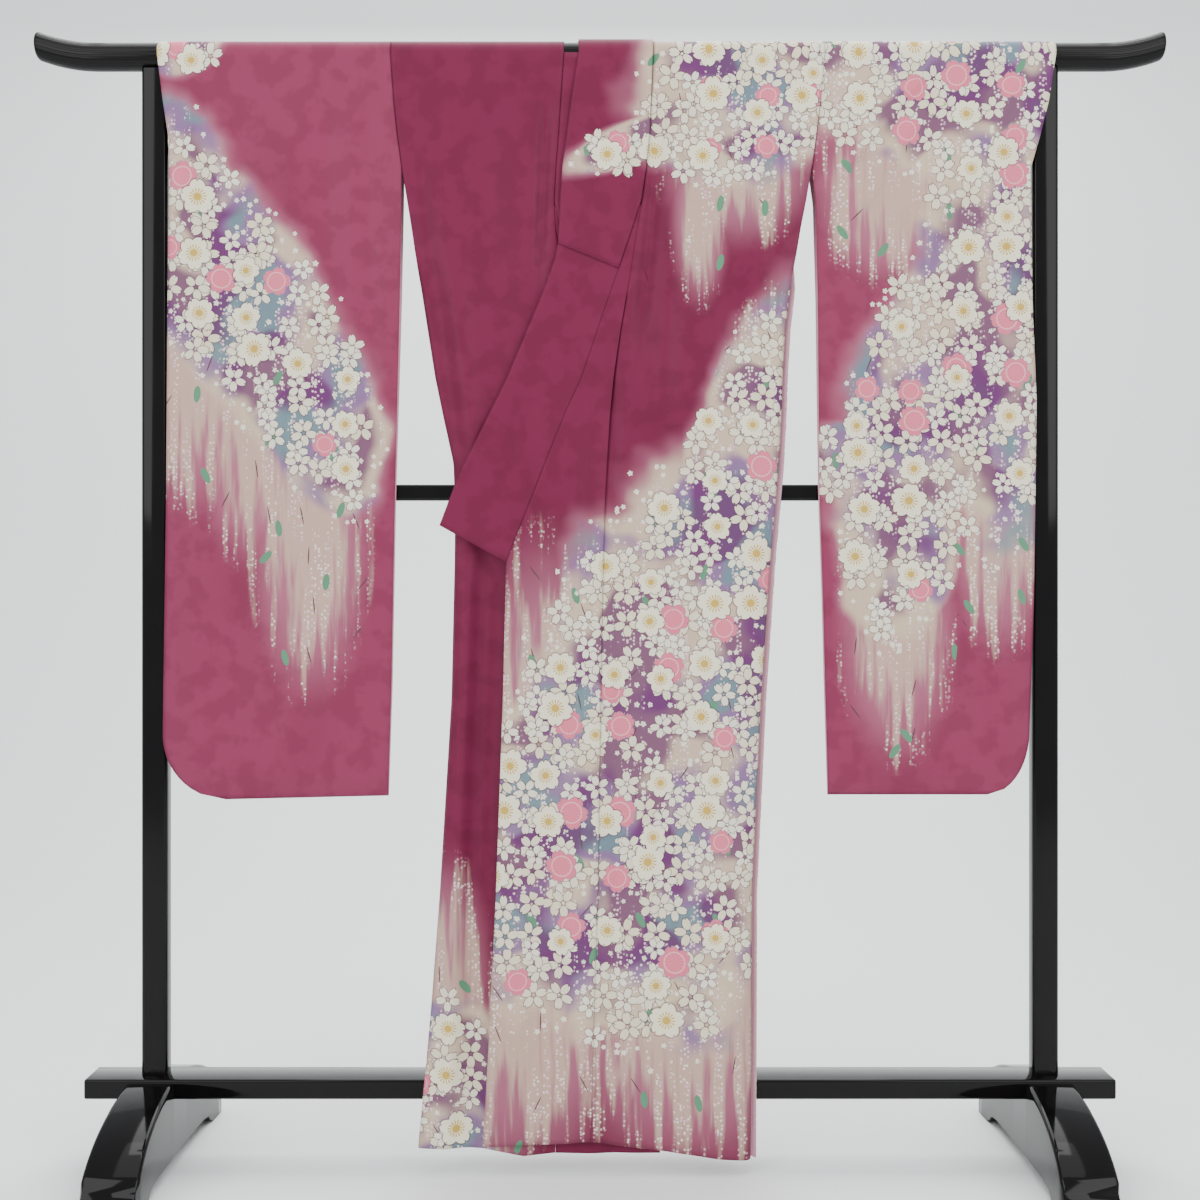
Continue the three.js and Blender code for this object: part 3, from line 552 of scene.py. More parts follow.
def round_in(distance, reach):
    """0 at an edge and 1 a reach away, along a quarter of an ellipse."""
    rest = 1 - min(1.0, max(0.0, distance / reach))
    return math.sqrt(1 - rest * rest)


CREASE = 1.9  # how strongly all the creases are pressed


def crease(folds, x, z):
    """Soft troughs and ridges, each from its top to its bottom. The bar fills the troughs."""
    depth = 0.0
    for fold in folds:
        middle = mix(fold["x"], fold["foot_x"], (fold["top"] - z) / (fold["top"] - fold["foot"]))
        across = (x - middle) / fold["width"]
        if abs(across) < 3:
            fade = fold.get("fade", 0.08)
            window = ease(z, fold["foot"] - fade, fold["foot"] + fade)
            window *= 1 - ease(z, fold["top"] - fade, fold["top"] + fade)
            if fold["depth"] > 0:
                window *= 1 - ease(z, SLACK_FROM, SLACK_TO)
            depth += CREASE * fold["depth"] * math.exp(-across * across) * window
    return depth


def stations(front, back, step):
    """Places down the front, over the bar and down the back, with the length so far."""
    made = []
    count = max(2, round((BAR_Z - front) / step))
    for k in range(count + 1):
        z = mix(front, BAR_Z, k / count)
        made.append({"face": "front", "z": z, "run": z})
    if back is None:
        return made
    for k in range(1, BAR_TURNS):
        turn = math.pi * k / BAR_TURNS
        run = BAR_Z + 2 * (SHOULDER - BAR_Z) * k / BAR_TURNS
        made.append({"face": "bar", "z": BAR_Z, "turn": turn, "run": run})
    count = max(2, round((BAR_Z - back) / step))
    for k in range(count + 1):
        z = mix(BAR_Z, back, k / count)
        made.append({"face": "rear", "z": z, "run": 2 * SHOULDER - z})
    return made


def over_bar(x, radius, turn):
    return (x, -radius * math.cos(turn), BAR_Z + radius * math.sin(turn))


def cloth(name, places, columns, point_at, outward, material):
    """A thin lined shell: a grid whose rows are the places and whose columns cross it."""
    bm = bmesh.new()
    bmesh.ops.create_grid(bm, x_segments=columns, y_segments=len(places) - 1, size=0.5)
    flat = {}
    for vert in bm.verts:
        place = places[round((vert.co.y + 0.5) * (len(places) - 1))]
        share = vert.co.x + 0.5
        vert.co = point_at(place, share if outward > 0 else 1 - share)
        run = place["run"] + (vert.co.z - place["z"] if place["face"] == "front" else 0)
        flat[vert.index] = (vert.co.x, run)
    layer = bm.loops.layers.uv.new("cloth")
    for face in bm.faces:
        for loop in face.loops:
            loop[layer].uv = flat[loop.vert.index]
    made = new_object(name, bm, material, lining)
    shell = made.modifiers.new("lining", "SOLIDIFY")
    shell.thickness = THICK
    shell.offset = -1
    shell.material_offset = 1
    shell.material_offset_rim = 0
    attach(made, "root")
    return made


def tuck(z):
    """The step where each length is taken up in a sewn tuck at the waist."""
    return 0.0016 * ease(TUCK_Z - z, 0.0, 0.009) * (1 - ease(TUCK_Z - z, 0.02, 0.15))


def body_half(name, table, sign, layer, roll, front_folds, back_folds, material):
    def front_point(z, share):
        inner = read(table, "inner", z) + sign * SEAM / 2
        side = read(table, "side", z) - sign * SEAM / 2
        x = mix(inner, side, share)
        sewn = 1 - ease(z, SIDE_SEAM, SIDE_SEAM + SIDE_OPENING)
        opened = mix(1, round_in(abs(side - x), SIDE_ROUND), sewn)
        face = read(DEPTH, layer, z) + crease(front_folds, x, z) + tuck(z)
        seam = read(DEPTH, "side", z) - SEAM / 2 - HALF_PAIR
        return x, mix(seam, face, opened)

    def back_point(z, share):
        neck = read(table, "inner", BAR_Z)
        centre = CENTRE_BACK + sign * SEAM / 2
        inner = mix(centre, neck, round_in(z - NECKLINE, BAR_Z - NECKLINE)) if z > NECKLINE else centre
        sewn = 1 - ease(z, SIDE_SEAM, SIDE_SEAM + SIDE_OPENING)
        side = read(table, "side", z) - sign * SEAM / 2 + sign * roll * sewn
        x = mix(inner, side, share)
        opened = mix(1, round_in(abs(side - x), SIDE_ROUND), sewn)
        face = read(DEPTH, "rear", z) - crease(back_folds, x, z) - tuck(z)
        seam = read(DEPTH, "side", z) + SEAM / 2 + HALF_PAIR
        return x, mix(seam, face, opened)

    def point_at(place, share):
        z = place["z"]
        if place["face"] == "bar":
            return over_bar(front_point(BAR_Z, share)[0], WRAP, place["turn"])
        point = front_point if place["face"] == "front" else back_point
        x, y = point(z, share)
        hem = read(HEM, layer if place["face"] == "front" else "rear", x, "x")
        lifted = z + (hem - HEM_Z) * (1 - ease(z, HEM_Z, HEM_REACH))
        return (x, y, lifted)

    places = stations(HEM_Z, HEM_Z, ROW_STEP)
    return cloth(name, places, BODY_COLUMNS, point_at, sign, material)


# Creases: where each starts and ends, its half width, and its depth into the cloth.
RIGHT_FRONT_FOLDS = [
    {"x": -0.165, "foot_x": -0.190, "top": 0.92, "foot": 0.03, "width": 0.020, "depth": 0.008},
    {"x": -0.192, "foot_x": -0.222, "top": 0.86, "foot": 0.03, "width": 0.012, "depth": -0.004},
    {"x": -0.262, "foot_x": -0.205, "top": 1.42, "foot": 1.02, "width": 0.014, "depth": 0.0035},
    {"x": -0.210, "foot_x": -0.180, "top": 1.30, "foot": 0.98, "width": 0.018, "depth": -0.003},
    {"x": -0.076, "foot_x": -0.088, "top": 1.60, "foot": 1.30, "width": 0.008, "depth": 0.004},
    {"x": -0.180, "foot_x": -0.150, "top": 1.55, "foot": 1.22, "width": 0.030, "depth": 0.0022},
]
LEFT_FRONT_FOLDS = [
    {"x": 0.095, "foot_x": 0.058, "top": 1.60, "foot": 1.20, "width": 0.010, "depth": 0.0045},
    {"x": 0.120, "foot_x": 0.090, "top": 1.58, "foot": 1.10, "width": 0.016, "depth": -0.003},
    {"x": 0.285, "foot_x": 0.180, "top": 1.60, "foot": 1.34, "width": 0.018, "depth": -0.003},
    {"x": 0.260, "foot_x": 0.235, "top": 1.38, "foot": 1.00, "width": 0.014, "depth": 0.003},
    {"x": 0.100, "foot_x": 0.085, "top": 0.95, "foot": 0.03, "width": 0.026, "depth": 0.004},
    {"x": 0.170, "foot_x": 0.165, "top": 0.70, "foot": 0.03, "width": 0.020, "depth": -0.0035},
    {"x": 0.020, "foot_x": 0.004, "top": 1.15, "foot": 0.03, "width": 0.010, "depth": 0.003},
    {"x": 0.200, "foot_x": 0.150, "top": 1.28, "foot": 0.90, "width": 0.022, "depth": 0.0025},
]
RIGHT_BACK_FOLDS = [
    {"x": -0.045, "foot_x": -0.040, "top": 1.35, "foot": 0.03, "width": 0.022, "depth": 0.006},
    {"x": -0.120, "foot_x": -0.125, "top": 1.42, "foot": 0.03, "width": 0.026, "depth": 0.006},
    {"x": -0.190, "foot_x": -0.215, "top": 1.20, "foot": 0.03, "width": 0.016, "depth": 0.003},
    {"x": -0.080, "foot_x": -0.090, "top": 1.20, "foot": 0.30, "width": 0.014, "depth": -0.002},
]
LEFT_BACK_FOLDS = [
    {"x": 0.055, "foot_x": 0.050, "top": 1.42, "foot": 0.03, "width": 0.024, "depth": 0.006},
    {"x": 0.140, "foot_x": 0.118, "top": 1.28, "foot": 0.03, "width": 0.028, "depth": 0.007},
    {"x": 0.215, "foot_x": 0.182, "top": 1.36, "foot": 0.03, "width": 0.018, "depth": 0.004},
]

# Where the blossoms stand and the sprays hang: soft ovals, with their middle, half
# sizes and tilt. Behind the shoulder line the same ovals go on down the back.
skirt_flowers = [
    {"x": 0.215, "z": 1.02, "across": 0.10, "up": 0.30, "tilt": -20},
    {"x": 0.100, "z": 0.74, "across": 0.20, "up": 0.36, "tilt": -28},
    {"x": 0.060, "z": 0.46, "across": 0.22, "up": 0.30, "tilt": 0},
    {"x": -0.080, "z": 0.46, "across": 0.14, "up": 0.26, "tilt": 0},
]
skirt_falls = [
    {"x": -0.070, "z": 0.62, "across": 0.16, "up": 0.34, "tilt": 0},
    {"x": -0.120, "z": 0.26, "across": 0.20, "up": 0.30, "tilt": 0},
    {"x": 0.130, "z": 0.24, "across": 0.24, "up": 0.26, "tilt": 0},
    {"x": 0.240, "z": 1.16, "across": 0.07, "up": 0.14, "tilt": -12},
]
shoulder_flowers = [
    {"x": 0.225, "z": 1.56, "across": 0.20, "up": 0.13, "tilt": 14},
    {"x": 0.050, "z": 1.49, "across": 0.11, "up": 0.034, "tilt": 22},
]
shoulder_falls = [
    {"x": 0.200, "z": 1.45, "across": 0.13, "up": 0.13, "tilt": 8},
    {"x": 0.145, "z": 1.38, "across": 0.05, "up": 0.15, "tilt": 0},
]
under_flowers = [
    {"x": -0.215, "z": 0.13, "across": 0.10, "up": 0.13, "tilt": 0},
]
under_falls = [
    {"x": -0.225, "z": 0.26, "across": 0.08, "up": 0.22, "tilt": 0},
    {"x": -0.180, "z": 0.12, "across": 0.12, "up": 0.18, "tilt": 0},
]
left_silk = silk("left_body_silk", skirt_flowers + shoulder_flowers, skirt_falls + shoulder_falls)
right_silk = silk("right_body_silk", under_flowers, under_falls)

right_body = body_half(
    "right_body_cloth", RIGHT, -1, "under", 0, RIGHT_FRONT_FOLDS, RIGHT_BACK_FOLDS, right_silk
)
left_body = body_half(
    "left_body_cloth", LEFT, 1, "over", 0.008, LEFT_FRONT_FOLDS, LEFT_BACK_FOLDS, left_silk
)
for piece, node in ((right_body, "right_body"), (left_body, "left_body")):
    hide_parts(node)

# ---- Overlap panels --------------------------------------------------------------------
# The narrow panel down each front's inner edge, cut to a point where the collar starts.
# The left one lies on top, and its free edge hangs in soft vertical folds.
OVERLAP_TIP = 1.396
OVERLAP_COLUMNS = 26
OVER_FOLDS = [
    {"x": -0.060, "foot_x": -0.100, "top": 0.80, "foot": 0.03, "width": 0.018, "depth": 0.004},
    {"x": -0.120, "foot_x": -0.140, "top": 0.60, "foot": 0.03, "width": 0.012, "depth": -0.003},
    {"x": -0.010, "foot_x": -0.045, "top": 1.05, "foot": 0.03, "width": 0.014, "depth": -0.002},
]
UNDER_FOLDS = [
    {"x": 0.040, "foot_x": 0.020, "top": 0.80, "foot": 0.03, "width": 0.020, "depth": 0.004},
]


def overlap_panel(name, table, sign, layer, folds, material):
    def point_at(place, share):
        z = mix(HEM_Z, OVERLAP_TIP, (place["z"] - HEM_Z) / (BAR_Z - HEM_Z))
        seam = read(table, "inner", z) - sign * SEAM / 2
        free = read(table, "free", z) + sign * SEAM / 2
        x = mix(free, seam, share)
        hem = read(HEM, layer, x, "x")
        lifted = z + (hem - HEM_Z) * (1 - ease(z, HEM_Z, HEM_REACH))
        return (x, read(DEPTH, layer, z) + crease(folds, x, z), lifted)

    places = stations(HEM_Z, None, ROW_STEP)
    return cloth(name, places, OVERLAP_COLUMNS, point_at, sign, material)


right_overlap = overlap_panel("right_overlap_cloth", RIGHT, -1, "under", UNDER_FOLDS, right_silk)
left_overlap = overlap_panel("left_overlap_cloth", LEFT, 1, "over", OVER_FOLDS, left_silk)
for piece, node in ((right_overlap, "right_overlap"), (left_overlap, "left_overlap")):
    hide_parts(node)

# ---- Collar and overcollar ---------------------------------------------------------------
# The collar is one straight band that follows each front, goes up over the bar and round
# the back of the neck. The overcollar is a second band, sewn over its middle stretch.
COLLAR_RIGHT_EDGE = [
    {"seam": 0.877, "x": 0.214, "z": 0.908},
    {"seam": 1.089, "x": 0.140, "z": 1.118},
    {"seam": 1.215, "x": 0.090, "z": 1.238},
    {"seam": 1.303, "x": 0.057, "z": 1.317},
    {"seam": 1.402, "x": 0.042, "z": 1.404},
    {"seam": 1.500, "x": 0.042, "z": 1.500},
    {"seam": BAR_Z, "x": 0.045, "z": BAR_Z},
]
COLLAR_LEFT_EDGE = [
    {"seam": 0.877, "x": -0.231, "z": 0.930},
    {"seam": 0.952, "x": -0.204, "z": 1.003},
    {"seam": 1.089, "x": -0.136, "z": 1.140},
    {"seam": 1.215, "x": -0.085, "z": 1.262},
    {"seam": 1.275, "x": -0.065, "z": 1.318},
    {"seam": 1.303, "x": -0.061, "z": 1.339},
    {"seam": 1.402, "x": -0.057, "z": 1.418},
    {"seam": 1.449, "x": -0.054, "z": 1.455},
    {"seam": 1.548, "x": -0.042, "z": 1.548},
    {"seam": BAR_Z, "x": -0.031, "z": BAR_Z},
]
NAPE = {"left": -0.062, "right": 0.082, "low": 1.578}
COLLAR_START = 0.877  # height of the lower ends, at the seam
OVERCOLLAR_START = 1.303
COLLAR_PARTS_Z = 1.48  # from here up the collar rises clear of the cloth under it
COLLAR_COLUMNS = 24


def collar_band(name, table, edges, sign, layer, lift, rise, start, nape, material):
    places = stations(start, nape["low"] if nape else None, ROW_STEP)

    def point_at(place, share):
        z = place["z"]
        out = lift + rise
        top = mix(edges[-1]["x"], read(table, "free", BAR_Z) - sign * SEAM / 2, share)
        if place["face"] == "front":
            seam_x = read(table, "free", z) - sign * SEAM / 2
            x = mix(read(edges, "x", z, "seam"), seam_x, share)
            height = mix(read(edges, "z", z, "seam"), z, share)
            y = read(DEPTH, layer, height) - lift - rise * ease(height, COLLAR_PARTS_Z, BAR_Z)
            return (x, y, height)
        spread = mix(nape["left"], nape["right"], share)
        if place["face"] == "bar":
            turned = ease(place["turn"], math.pi / 2, math.pi)
            return over_bar(mix(top, spread, turned), WRAP + out, place["turn"])
        return (spread, read(DEPTH, "rear", z) + out, z)

    return cloth(name, places, COLLAR_COLUMNS, point_at, sign, material)


plain_silk = silk("collar_silk", [], [])
over_silk = silk("overcollar_silk", shoulder_flowers, shoulder_falls)
collar_right = collar_band(
    "collar_right_cloth", RIGHT, COLLAR_RIGHT_EDGE, -1, "under", 0, 0, COLLAR_START, None,
    plain_silk,
)
collar_left = collar_band(
    "collar_left_cloth", LEFT, COLLAR_LEFT_EDGE, 1, "over", 0, LAYER, COLLAR_START, NAPE,
    plain_silk,
)
overcollar = collar_band(
    "overcollar_cloth", LEFT, COLLAR_LEFT_EDGE, 1, "over", LAYER, LAYER, OVERCOLLAR_START, NAPE,
    over_silk,
)
for piece, node, length in (
    (collar_right, "collar_right", 0.78),
    (collar_left, "collar_left", 0.90),
    (overcollar, "overcollar", 0.43),
):
    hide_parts(node)

# ---- Sleeves -------------------------------------------------------------------------------
# Each sleeve is one length folded at the top, sewn along the bottom with a rounded outer
# corner and up the outer edge to the cuff, and left open towards the body.
SLEEVE_DEPTH = [
    {"z": 0.530, "front": -0.027, "rear": -0.015},
    {"z": 0.700, "front": -0.029, "rear": -0.014},
    {"z": 0.980, "front": -0.028, "rear": -0.0125},
    {"z": 1.111, "front": -0.0265, "rear": -0.005},
    {"z": 1.265, "front": -0.0255, "rear": 0.002},
    {"z": 1.402, "front": -0.0245, "rear": 0.009},
    {"z": 1.500, "front": -0.0232, "rear": 0.015},
    {"z": 1.560, "front": -0.0226, "rear": 0.019},
    {"z": BAR_Z, "front": -WRAP, "rear": WRAP},
]
SLEEVE_RIGHT_EDGES = [
    {"z": 0.530, "inner": -0.3075, "outer": -0.637},
    {"z": 0.700, "inner": -0.302, "outer": -0.635},
    {"z": 0.980, "inner": -0.297, "outer": -0.631},
    {"z": 1.258, "inner": -0.2905, "outer": -0.629},
    {"z": 1.402, "inner": -0.2883, "outer": -0.627},
    {"z": 1.449, "inner": -0.2883, "outer": -0.626},
    {"z": 1.500, "inner": -0.2953, "outer": -0.6275},
    {"z": 1.548, "inner": -0.3003, "outer": -0.635},
    {"z": BAR_Z, "inner": -0.3053, "outer": -0.644},
]
SLEEVE_LEFT_EDGES = [
    {"z": 0.530, "inner": 0.331, "outer": 0.621},
    {"z": 0.700, "inner": 0.326, "outer": 0.627},
    {"z": 0.823, "inner": 0.323, "outer": 0.631},
    {"z": 0.980, "inner": 0.318, "outer": 0.6335},
    {"z": 1.113, "inner": 0.317, "outer": 0.635},
    {"z": 1.258, "inner": 0.316, "outer": 0.629},
    {"z": 1.402, "inner": 0.313, "outer": 0.627},
    {"z": 1.449, "inner": 0.3073, "outer": 0.626},
    {"z": 1.500, "inner": 0.3143, "outer": 0.641},
    {"z": 1.548, "inner": 0.3203, "outer": 0.652},
    {"z": BAR_Z, "inner": 0.3273, "outer": 0.663},
]
CUFF = 1.402  # bottom of the hand opening
CUFF_OPEN = 1.53  # the two layers have parted by this height
CUFF_INSIDE_POST = 0.6285  # the back of each cuff hangs inside its post
CUFF_INSIDE_TOP = 1.59
SLEEVE_ROUND = 0.060
SLEEVE_SEAM_Y = -0.018
SLEEVE_HEM_ROW = 0.006  # height of the lowest row, which follows the bottom seam
SLEEVE_STEP = 0.008
SLEEVE_COLUMNS = 60


def sleeve(name, sign, edges, low_inner, low_outer, corner, folds, material):
    low = min(low_inner, low_outer)

    def on_face(face, z, share):
        inner = read(edges, "inner", z)
        outer = read(edges, "outer", z)
        if face == "rear" and CUFF < z < CUFF_INSIDE_TOP:
            outer = sign * min(abs(outer), CUFF_INSIDE_POST)
        along = min(1.0, max(0.0, (z - low) / corner["up"]))
        outer -= sign * corner["across"] * (1 - math.sqrt(1 - (1 - along) ** 2))
        x = mix(inner, outer, share)
        bottom = mix(low_inner, low_outer, share)
        above_seam = low + SLEEVE_HEM_ROW
        height = max(z, bottom)
        if z <= above_seam:
            height = mix(bottom, above_seam, (z - low) / SLEEVE_HEM_ROW)
        sewn = 1 - ease(z, CUFF, CUFF_OPEN)
        opened = mix(1, round_in(abs(outer - x), SLEEVE_ROUND), sewn)
        opened *= round_in(height - bottom, SLEEVE_ROUND)
        side = -1 if face == "front" else 1
        seam = SLEEVE_SEAM_Y + side * (SEAM / 2 + HALF_PAIR)
        fold = side * crease(folds, x, height) * opened
        return (x, mix(seam, read(SLEEVE_DEPTH, face, z), opened) - fold, height)

    def point_at(place, share):
        if place["face"] == "bar":
            return over_bar(on_face("front", BAR_Z, share)[0], WRAP, place["turn"])
        return on_face(place["face"], place["z"], share)

    places = stations(low, low, SLEEVE_STEP)
    return cloth(name, places, SLEEVE_COLUMNS, point_at, sign, material)


RIGHT_SLEEVE_FOLDS = [
    {"x": -0.400, "foot_x": -0.385, "top": 1.58, "foot": 0.75, "width": 0.028, "depth": 0.0030},
    {"x": -0.525, "foot_x": -0.520, "top": 1.50, "foot": 0.70, "width": 0.030, "depth": 0.0035},
    {"x": -0.595, "foot_x": -0.580, "top": 1.58, "foot": 1.00, "width": 0.010, "depth": -0.0025},
    {"x": -0.460, "foot_x": -0.450, "top": 1.30, "foot": 0.65, "width": 0.012, "depth": -0.0020},
    {"x": -0.340, "foot_x": -0.330, "top": 1.55, "foot": 1.15, "width": 0.012, "depth": 0.0020},
]
LEFT_SLEEVE_FOLDS = [
    {"x": 0.490, "foot_x": 0.350, "top": 1.61, "foot": 1.44, "width": 0.006, "depth": -0.0050, "fade": 0.03},
    {"x": 0.530, "foot_x": 0.380, "top": 1.60, "foot": 1.36, "width": 0.014, "depth": 0.0040, "fade": 0.04},
    {"x": 0.565, "foot_x": 0.545, "top": 1.61, "foot": 1.52, "width": 0.006, "depth": -0.0035, "fade": 0.03},
    {"x": 0.620, "foot_x": 0.450, "top": 1.60, "foot": 1.30, "width": 0.016, "depth": -0.0040, "fade": 0.05},
    {"x": 0.650, "foot_x": 0.520, "top": 1.55, "foot": 1.15, "width": 0.020, "depth": 0.0035},
    {"x": 0.420, "foot_x": 0.410, "top": 1.35, "foot": 0.70, "width": 0.026, "depth": 0.0030},
    {"x": 0.545, "foot_x": 0.540, "top": 1.20, "foot": 0.66, "width": 0.024, "depth": 0.0035},
    {"x": 0.480, "foot_x": 0.478, "top": 1.10, "foot": 0.62, "width": 0.010, "depth": -0.0015},
]
# Its ground is the sleeves' rose, painted lighter than the body's: painted light.
right_sleeve_silk = silk(
    "right_sleeve_silk",
    [
        {"x": -0.610, "z": 1.36, "across": 0.10, "up": 0.20, "tilt": 12},
        {"x": -0.505, "z": 1.24, "across": 0.12, "up": 0.28, "tilt": 32},
        {"x": -0.400, "z": 1.09, "across": 0.085, "up": 0.17, "tilt": 12},
        {"x": -0.615, "z": 1.63, "across": 0.07, "up": 0.05, "tilt": 0},
    ],
    [
        {"x": -0.590, "z": 1.16, "across": 0.11, "up": 0.24, "tilt": 0},
        {"x": -0.420, "z": 0.92, "across": 0.10, "up": 0.27, "tilt": 0},
        {"x": -0.500, "z": 1.05, "across": 0.10, "up": 0.20, "tilt": 0},
    ],
    PAINTED_LIGHT_SLEEVE_ROSE,
)
# Its ground is the sleeves' rose, painted lighter than the body's: painted light.
left_sleeve_silk = silk(
    "left_sleeve_silk",
    [
        {"x": 0.500, "z": 1.60, "across": 0.26, "up": 0.17, "tilt": 0},
        {"x": 0.600, "z": 1.28, "across": 0.14, "up": 0.40, "tilt": -6},
        {"x": 0.480, "z": 1.12, "across": 0.13, "up": 0.26, "tilt": -16},
        {"x": 0.435, "z": 0.92, "across": 0.09, "up": 0.17, "tilt": -8},
        {"x": 0.360, "z": 1.03, "across": 0.07, "up": 0.06, "tilt": 20},
    ],
    [
        {"x": 0.430, "z": 1.42, "across": 0.14, "up": 0.16, "tilt": 0},
        {"x": 0.430, "z": 0.80, "across": 0.10, "up": 0.24, "tilt": 0},
        {"x": 0.580, "z": 0.94, "across": 0.09, "up": 0.22, "tilt": 0},
    ],
    PAINTED_LIGHT_SLEEVE_ROSE,
)
right_sleeve = sleeve(
    "right_sleeve_cloth", -1, SLEEVE_RIGHT_EDGES, 0.5385, 0.533,
    {"across": 0.093, "up": 0.095}, RIGHT_SLEEVE_FOLDS, right_sleeve_silk,
)
left_sleeve = sleeve(
    "left_sleeve_cloth", 1, SLEEVE_LEFT_EDGES, 0.540, 0.540,
    {"across": 0.058, "up": 0.087}, LEFT_SLEEVE_FOLDS, left_sleeve_silk,
)
for piece, node in ((right_sleeve, "right_sleeve"), (left_sleeve, "left_sleeve")):
    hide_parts(node)

# ---- The stand -------------------------------------------------------------------------------
# Wood under black gloss lacquer: a round bar whose ends sweep up, two posts, a rail,
# a flat base beam and two arched feet notched to take the beam.
lacquer, lacquer_tree, lacquer_shader = new_material("black_lacquer")
lacquer_dye = Dye(lacquer_tree)
lacquer_where = lacquer_dye.add("ShaderNodeTexCoord").outputs["Object"]
lacquer_smear = lacquer_dye.add(
    "ShaderNodeTexNoise", {"Vector": lacquer_where, "Scale": 14.0, "Detail": 3.0}
).outputs[0]
lacquer_gloss = lacquer_dye.ramp(lacquer_smear, 0.2, 0.8)
lacquer_rough = lacquer_dye.math("MULTIPLY_ADD", lacquer_gloss, 0.06, 0.05)
lacquer_tree.links.new(lacquer_rough, lacquer_shader.inputs["Roughness"])
lacquer_tone = lacquer_dye.paint((0.002, 0.002, 0.0025, 1), (0.005, 0.004, 0.004, 1), lacquer_smear)
lacquer_tree.links.new(lacquer_tone, lacquer_shader.inputs["Base Color"])
lacquer_shader.inputs["Specular IOR Level"].default_value = 0.16
lacquer_shader.inputs["Coat Weight"].default_value = 0.05
lacquer_shader.inputs["Coat Roughness"].default_value = 0.06


GLOSS_CORNER = math.radians(35)  # edges sharper than this stay crisp


def slices(bm, axis, places):
    """Cuts the whole mesh across an axis at each place."""
    normal = [0, 0, 0]
    normal[axis] = 1
    for place in places:
        point = [0, 0, 0]
        point[axis] = place
        geom = bm.verts[:] + bm.edges[:] + bm.faces[:]
        bmesh.ops.bisect_plane(bm, geom=geom, plane_co=point, plane_no=normal)


def box(low, high, bevel, segments, along=None):
    """A box with rounded edges, all of them or only those along one axis."""
    bm = bmesh.new()
    bmesh.ops.create_cube(bm, size=1)
    for vert in bm.verts:
        vert.co = [mix(low[k], high[k], vert.co[k] + 0.5) for k in range(3)]
    edges = bm.edges[:]
    if along is not None:
        edges = [e for e in edges if abs((e.verts[0].co - e.verts[1].co)[along]) > 1e-6]
    bmesh.ops.bevel(
        bm, geom=edges, offset=bevel, offset_type="OFFSET", segments=segments,
        profile=0.5, affect="EDGES", material=-1,
    )
    return bm


def lacquered(name, bm, node):
    made = new_object(name, bm, lacquer)
    made.data.set_sharp_from_angle(angle=GLOSS_CORNER)
    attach(made, "root")
    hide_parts(node)
    return made


BAR_HALF = 0.825
BAR_RADIUS = 0.020
BAR_RIM = 0.005
BAR_STRAIGHT = 0.735  # beyond this each end sweeps up
BAR_RISE = 0.0175
POST_TOP = 1.5985  # the posts end under the bar
POST_EDGE = 0.007
RAIL_EDGE = 0.004
BEAM_EDGE = 0.003
bar = bmesh.new()
bmesh.ops.create_cone(
    bar, cap_ends=True, segments=48, radius1=BAR_RADIUS, radius2=BAR_RADIUS, depth=2 * BAR_HALF
)
bmesh.ops.rotate(bar, verts=bar.verts[:], matrix=Matrix.Rotation(math.pi / 2, 3, "Y"))
rims = [e for e in bar.edges if all(abs(v.co.x) > BAR_HALF - 1e-5 for v in e.verts)]
bmesh.ops.bevel(
    bar, geom=rims, offset=BAR_RIM, offset_type="OFFSET", segments=3,
    profile=0.5, affect="EDGES", material=-1,
)
sweep_places = [BAR_STRAIGHT + 0.006 * k for k in range(14)]
slices(bar, 0, sweep_places + [-x for x in sweep_places])
for vert in bar.verts:
    past = max(0.0, abs(vert.co.x) - BAR_STRAIGHT) / (BAR_HALF - BAR_STRAIGHT)
    vert.co.z += BAR_Z + BAR_RISE * past * past
lacquered("top_bar", bar, "stand_top_bar")

for side in ("right", "left"):
    low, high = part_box("stand_post_" + side)
    post = box(low, (high[0], high[1], POST_TOP), POST_EDGE, 5, along=2)
    lacquered("post_" + side, post, "stand_post_" + side)
low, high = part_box("stand_middle_rail")
lacquered("middle_rail", box(low, high, RAIL_EDGE, 4, along=0), "stand_middle_rail")
low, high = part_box("stand_base_beam")
lacquered("base_beam", box(low, high, BEAM_EDGE, 3), "stand_base_beam")

# Each foot is an arch that thins to a tip, hollowed underneath between its two pads.
FOOT = {"x": 0.65, "half": 0.245, "height": 0.125, "width": 0.070, "flare": 0.010}
FOOT_TIP = {"reach": 0.012, "height": 0.022, "taper": 0.006}
FOOT_RECESS = {"height": 0.019, "end": 0.150, "pad": 0.190}
FOOT_EDGE = 0.006
FOOT_CUTS = [
    0.0357, 0.07, 0.105, 0.135, 0.16, 0.175, 0.19, 0.205, 0.218, 0.228, 0.236, 0.242,
]
NOTCH_GAP = 0.0003


def arch(y):
    """Height of the foot's back at a distance from its middle."""
    out = min(1.0, abs(y) / (FOOT["half"] + 0.003))
    return FOOT["height"] * math.sqrt(1 - out * out)


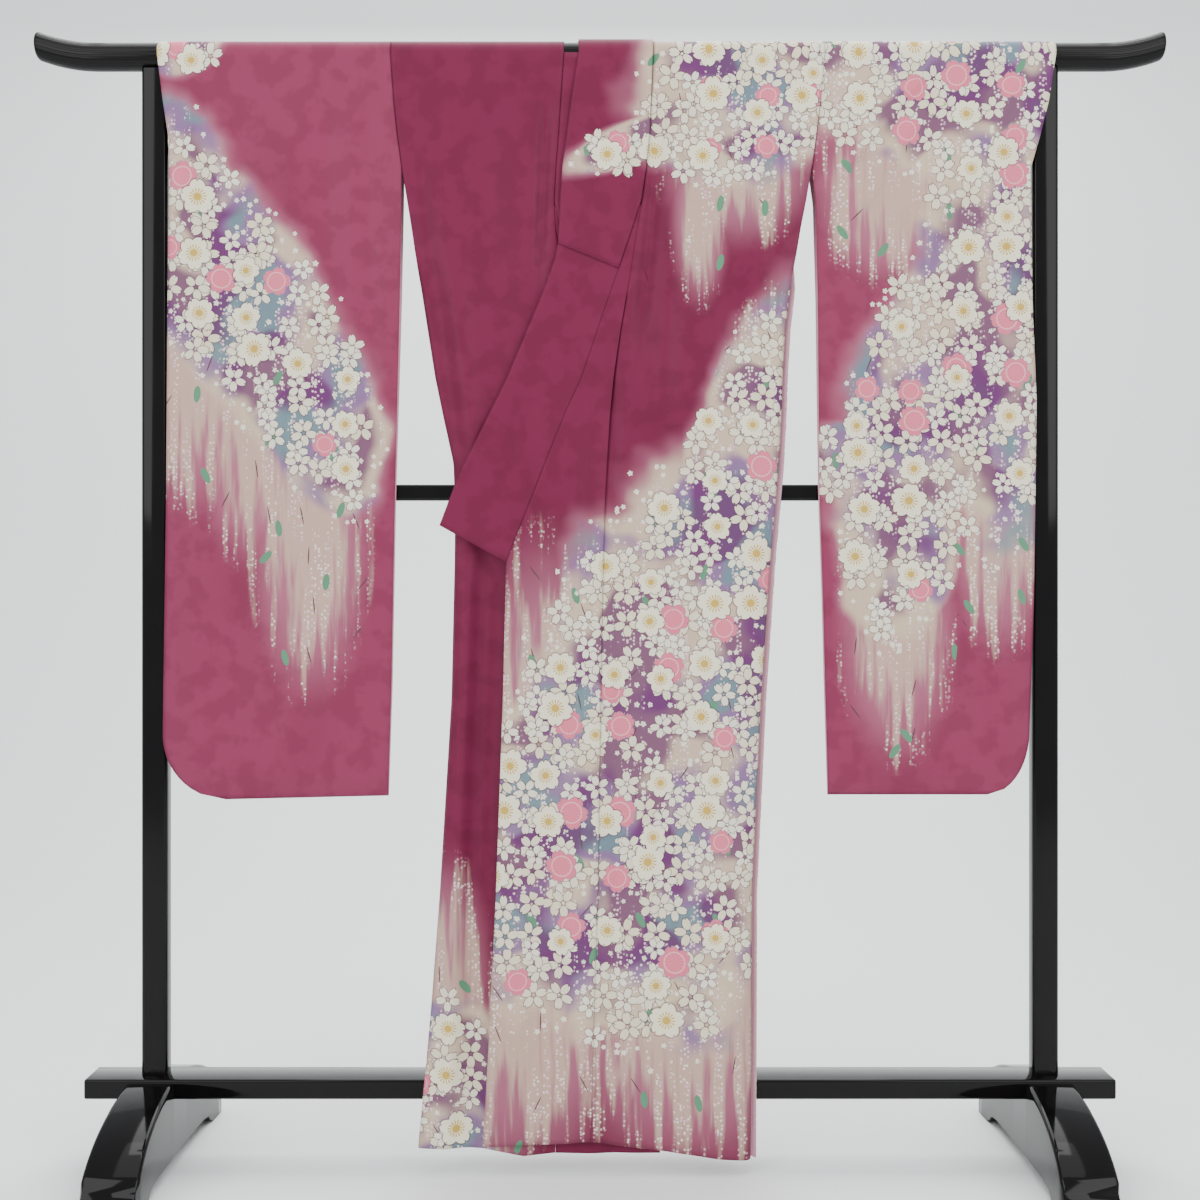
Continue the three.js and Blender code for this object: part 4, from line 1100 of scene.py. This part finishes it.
def foot_blank(centre_x):
    """The foot before its notch is cut: a sliced block, bent to the arch."""
    foot = bmesh.new()
    bmesh.ops.create_cube(foot, size=1)
    for vert in foot.verts:
        vert.co.y *= 2 * FOOT["half"]
    slices(foot, 1, FOOT_CUTS + [-y for y in FOOT_CUTS])
    for vert in foot.verts:
        y = vert.co.y
        out = abs(y) / FOOT["half"]
        half = (FOOT["width"] + FOOT["flare"] * out * out) / 2
        tip = round_in(FOOT["half"] - abs(y) + 0.001, FOOT_TIP["reach"])
        top = max(FOOT_TIP["height"] * tip, arch(y))
        hollow = 1 - ease(abs(y), FOOT_RECESS["end"], FOOT_RECESS["pad"])
        vert.co.z = top if vert.co.z > 0 else FOOT_RECESS["height"] * hollow
        vert.co.x = math.copysign(half - FOOT_TIP["taper"] * (1 - tip), vert.co.x) + centre_x
    crown = [
        e for e in foot.edges
        if min(v.co.z for v in e.verts) > 0.0195
        and abs(e.verts[0].co.x - e.verts[1].co.x) < 0.01
        and len(e.link_faces) == 2
        and e.calc_face_angle(0) > 0.9
    ]
    bmesh.ops.bevel(
        foot, geom=crown, offset=FOOT_EDGE, offset_type="OFFSET", segments=4,
        profile=0.5, affect="EDGES", material=-1,
    )
    bmesh.ops.recalc_face_normals(foot, faces=foot.faces[:])
    return foot


def notch(foot, low, high):
    """Cuts the beam's place out of a foot, with a hair's breadth to spare."""
    low = [v - NOTCH_GAP for v in low]
    high = [v + NOTCH_GAP for v in high]
    tool = new_object("notch_tool", box(low, high, BEAM_EDGE, 2), lacquer)
    cut = foot.modifiers.new("notch", "BOOLEAN")
    cut.object = tool
    cut.operation = "DIFFERENCE"
    cut.solver = "EXACT"
    bpy.context.view_layer.update()
    seen = foot.evaluated_get(bpy.context.evaluated_depsgraph_get())
    finished = bpy.data.meshes.new_from_object(seen)
    foot.modifiers.clear()
    foot.data = finished
    foot.data.set_sharp_from_angle(angle=GLOSS_CORNER)
    bpy.data.objects.remove(tool)


beam_low, beam_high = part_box("stand_base_beam")
for side, sign in (("right", -1), ("left", 1)):
    foot = lacquered("foot_" + side, foot_blank(sign * FOOT["x"]), "stand_foot_" + side)
    notch(foot, beam_low, beam_high)
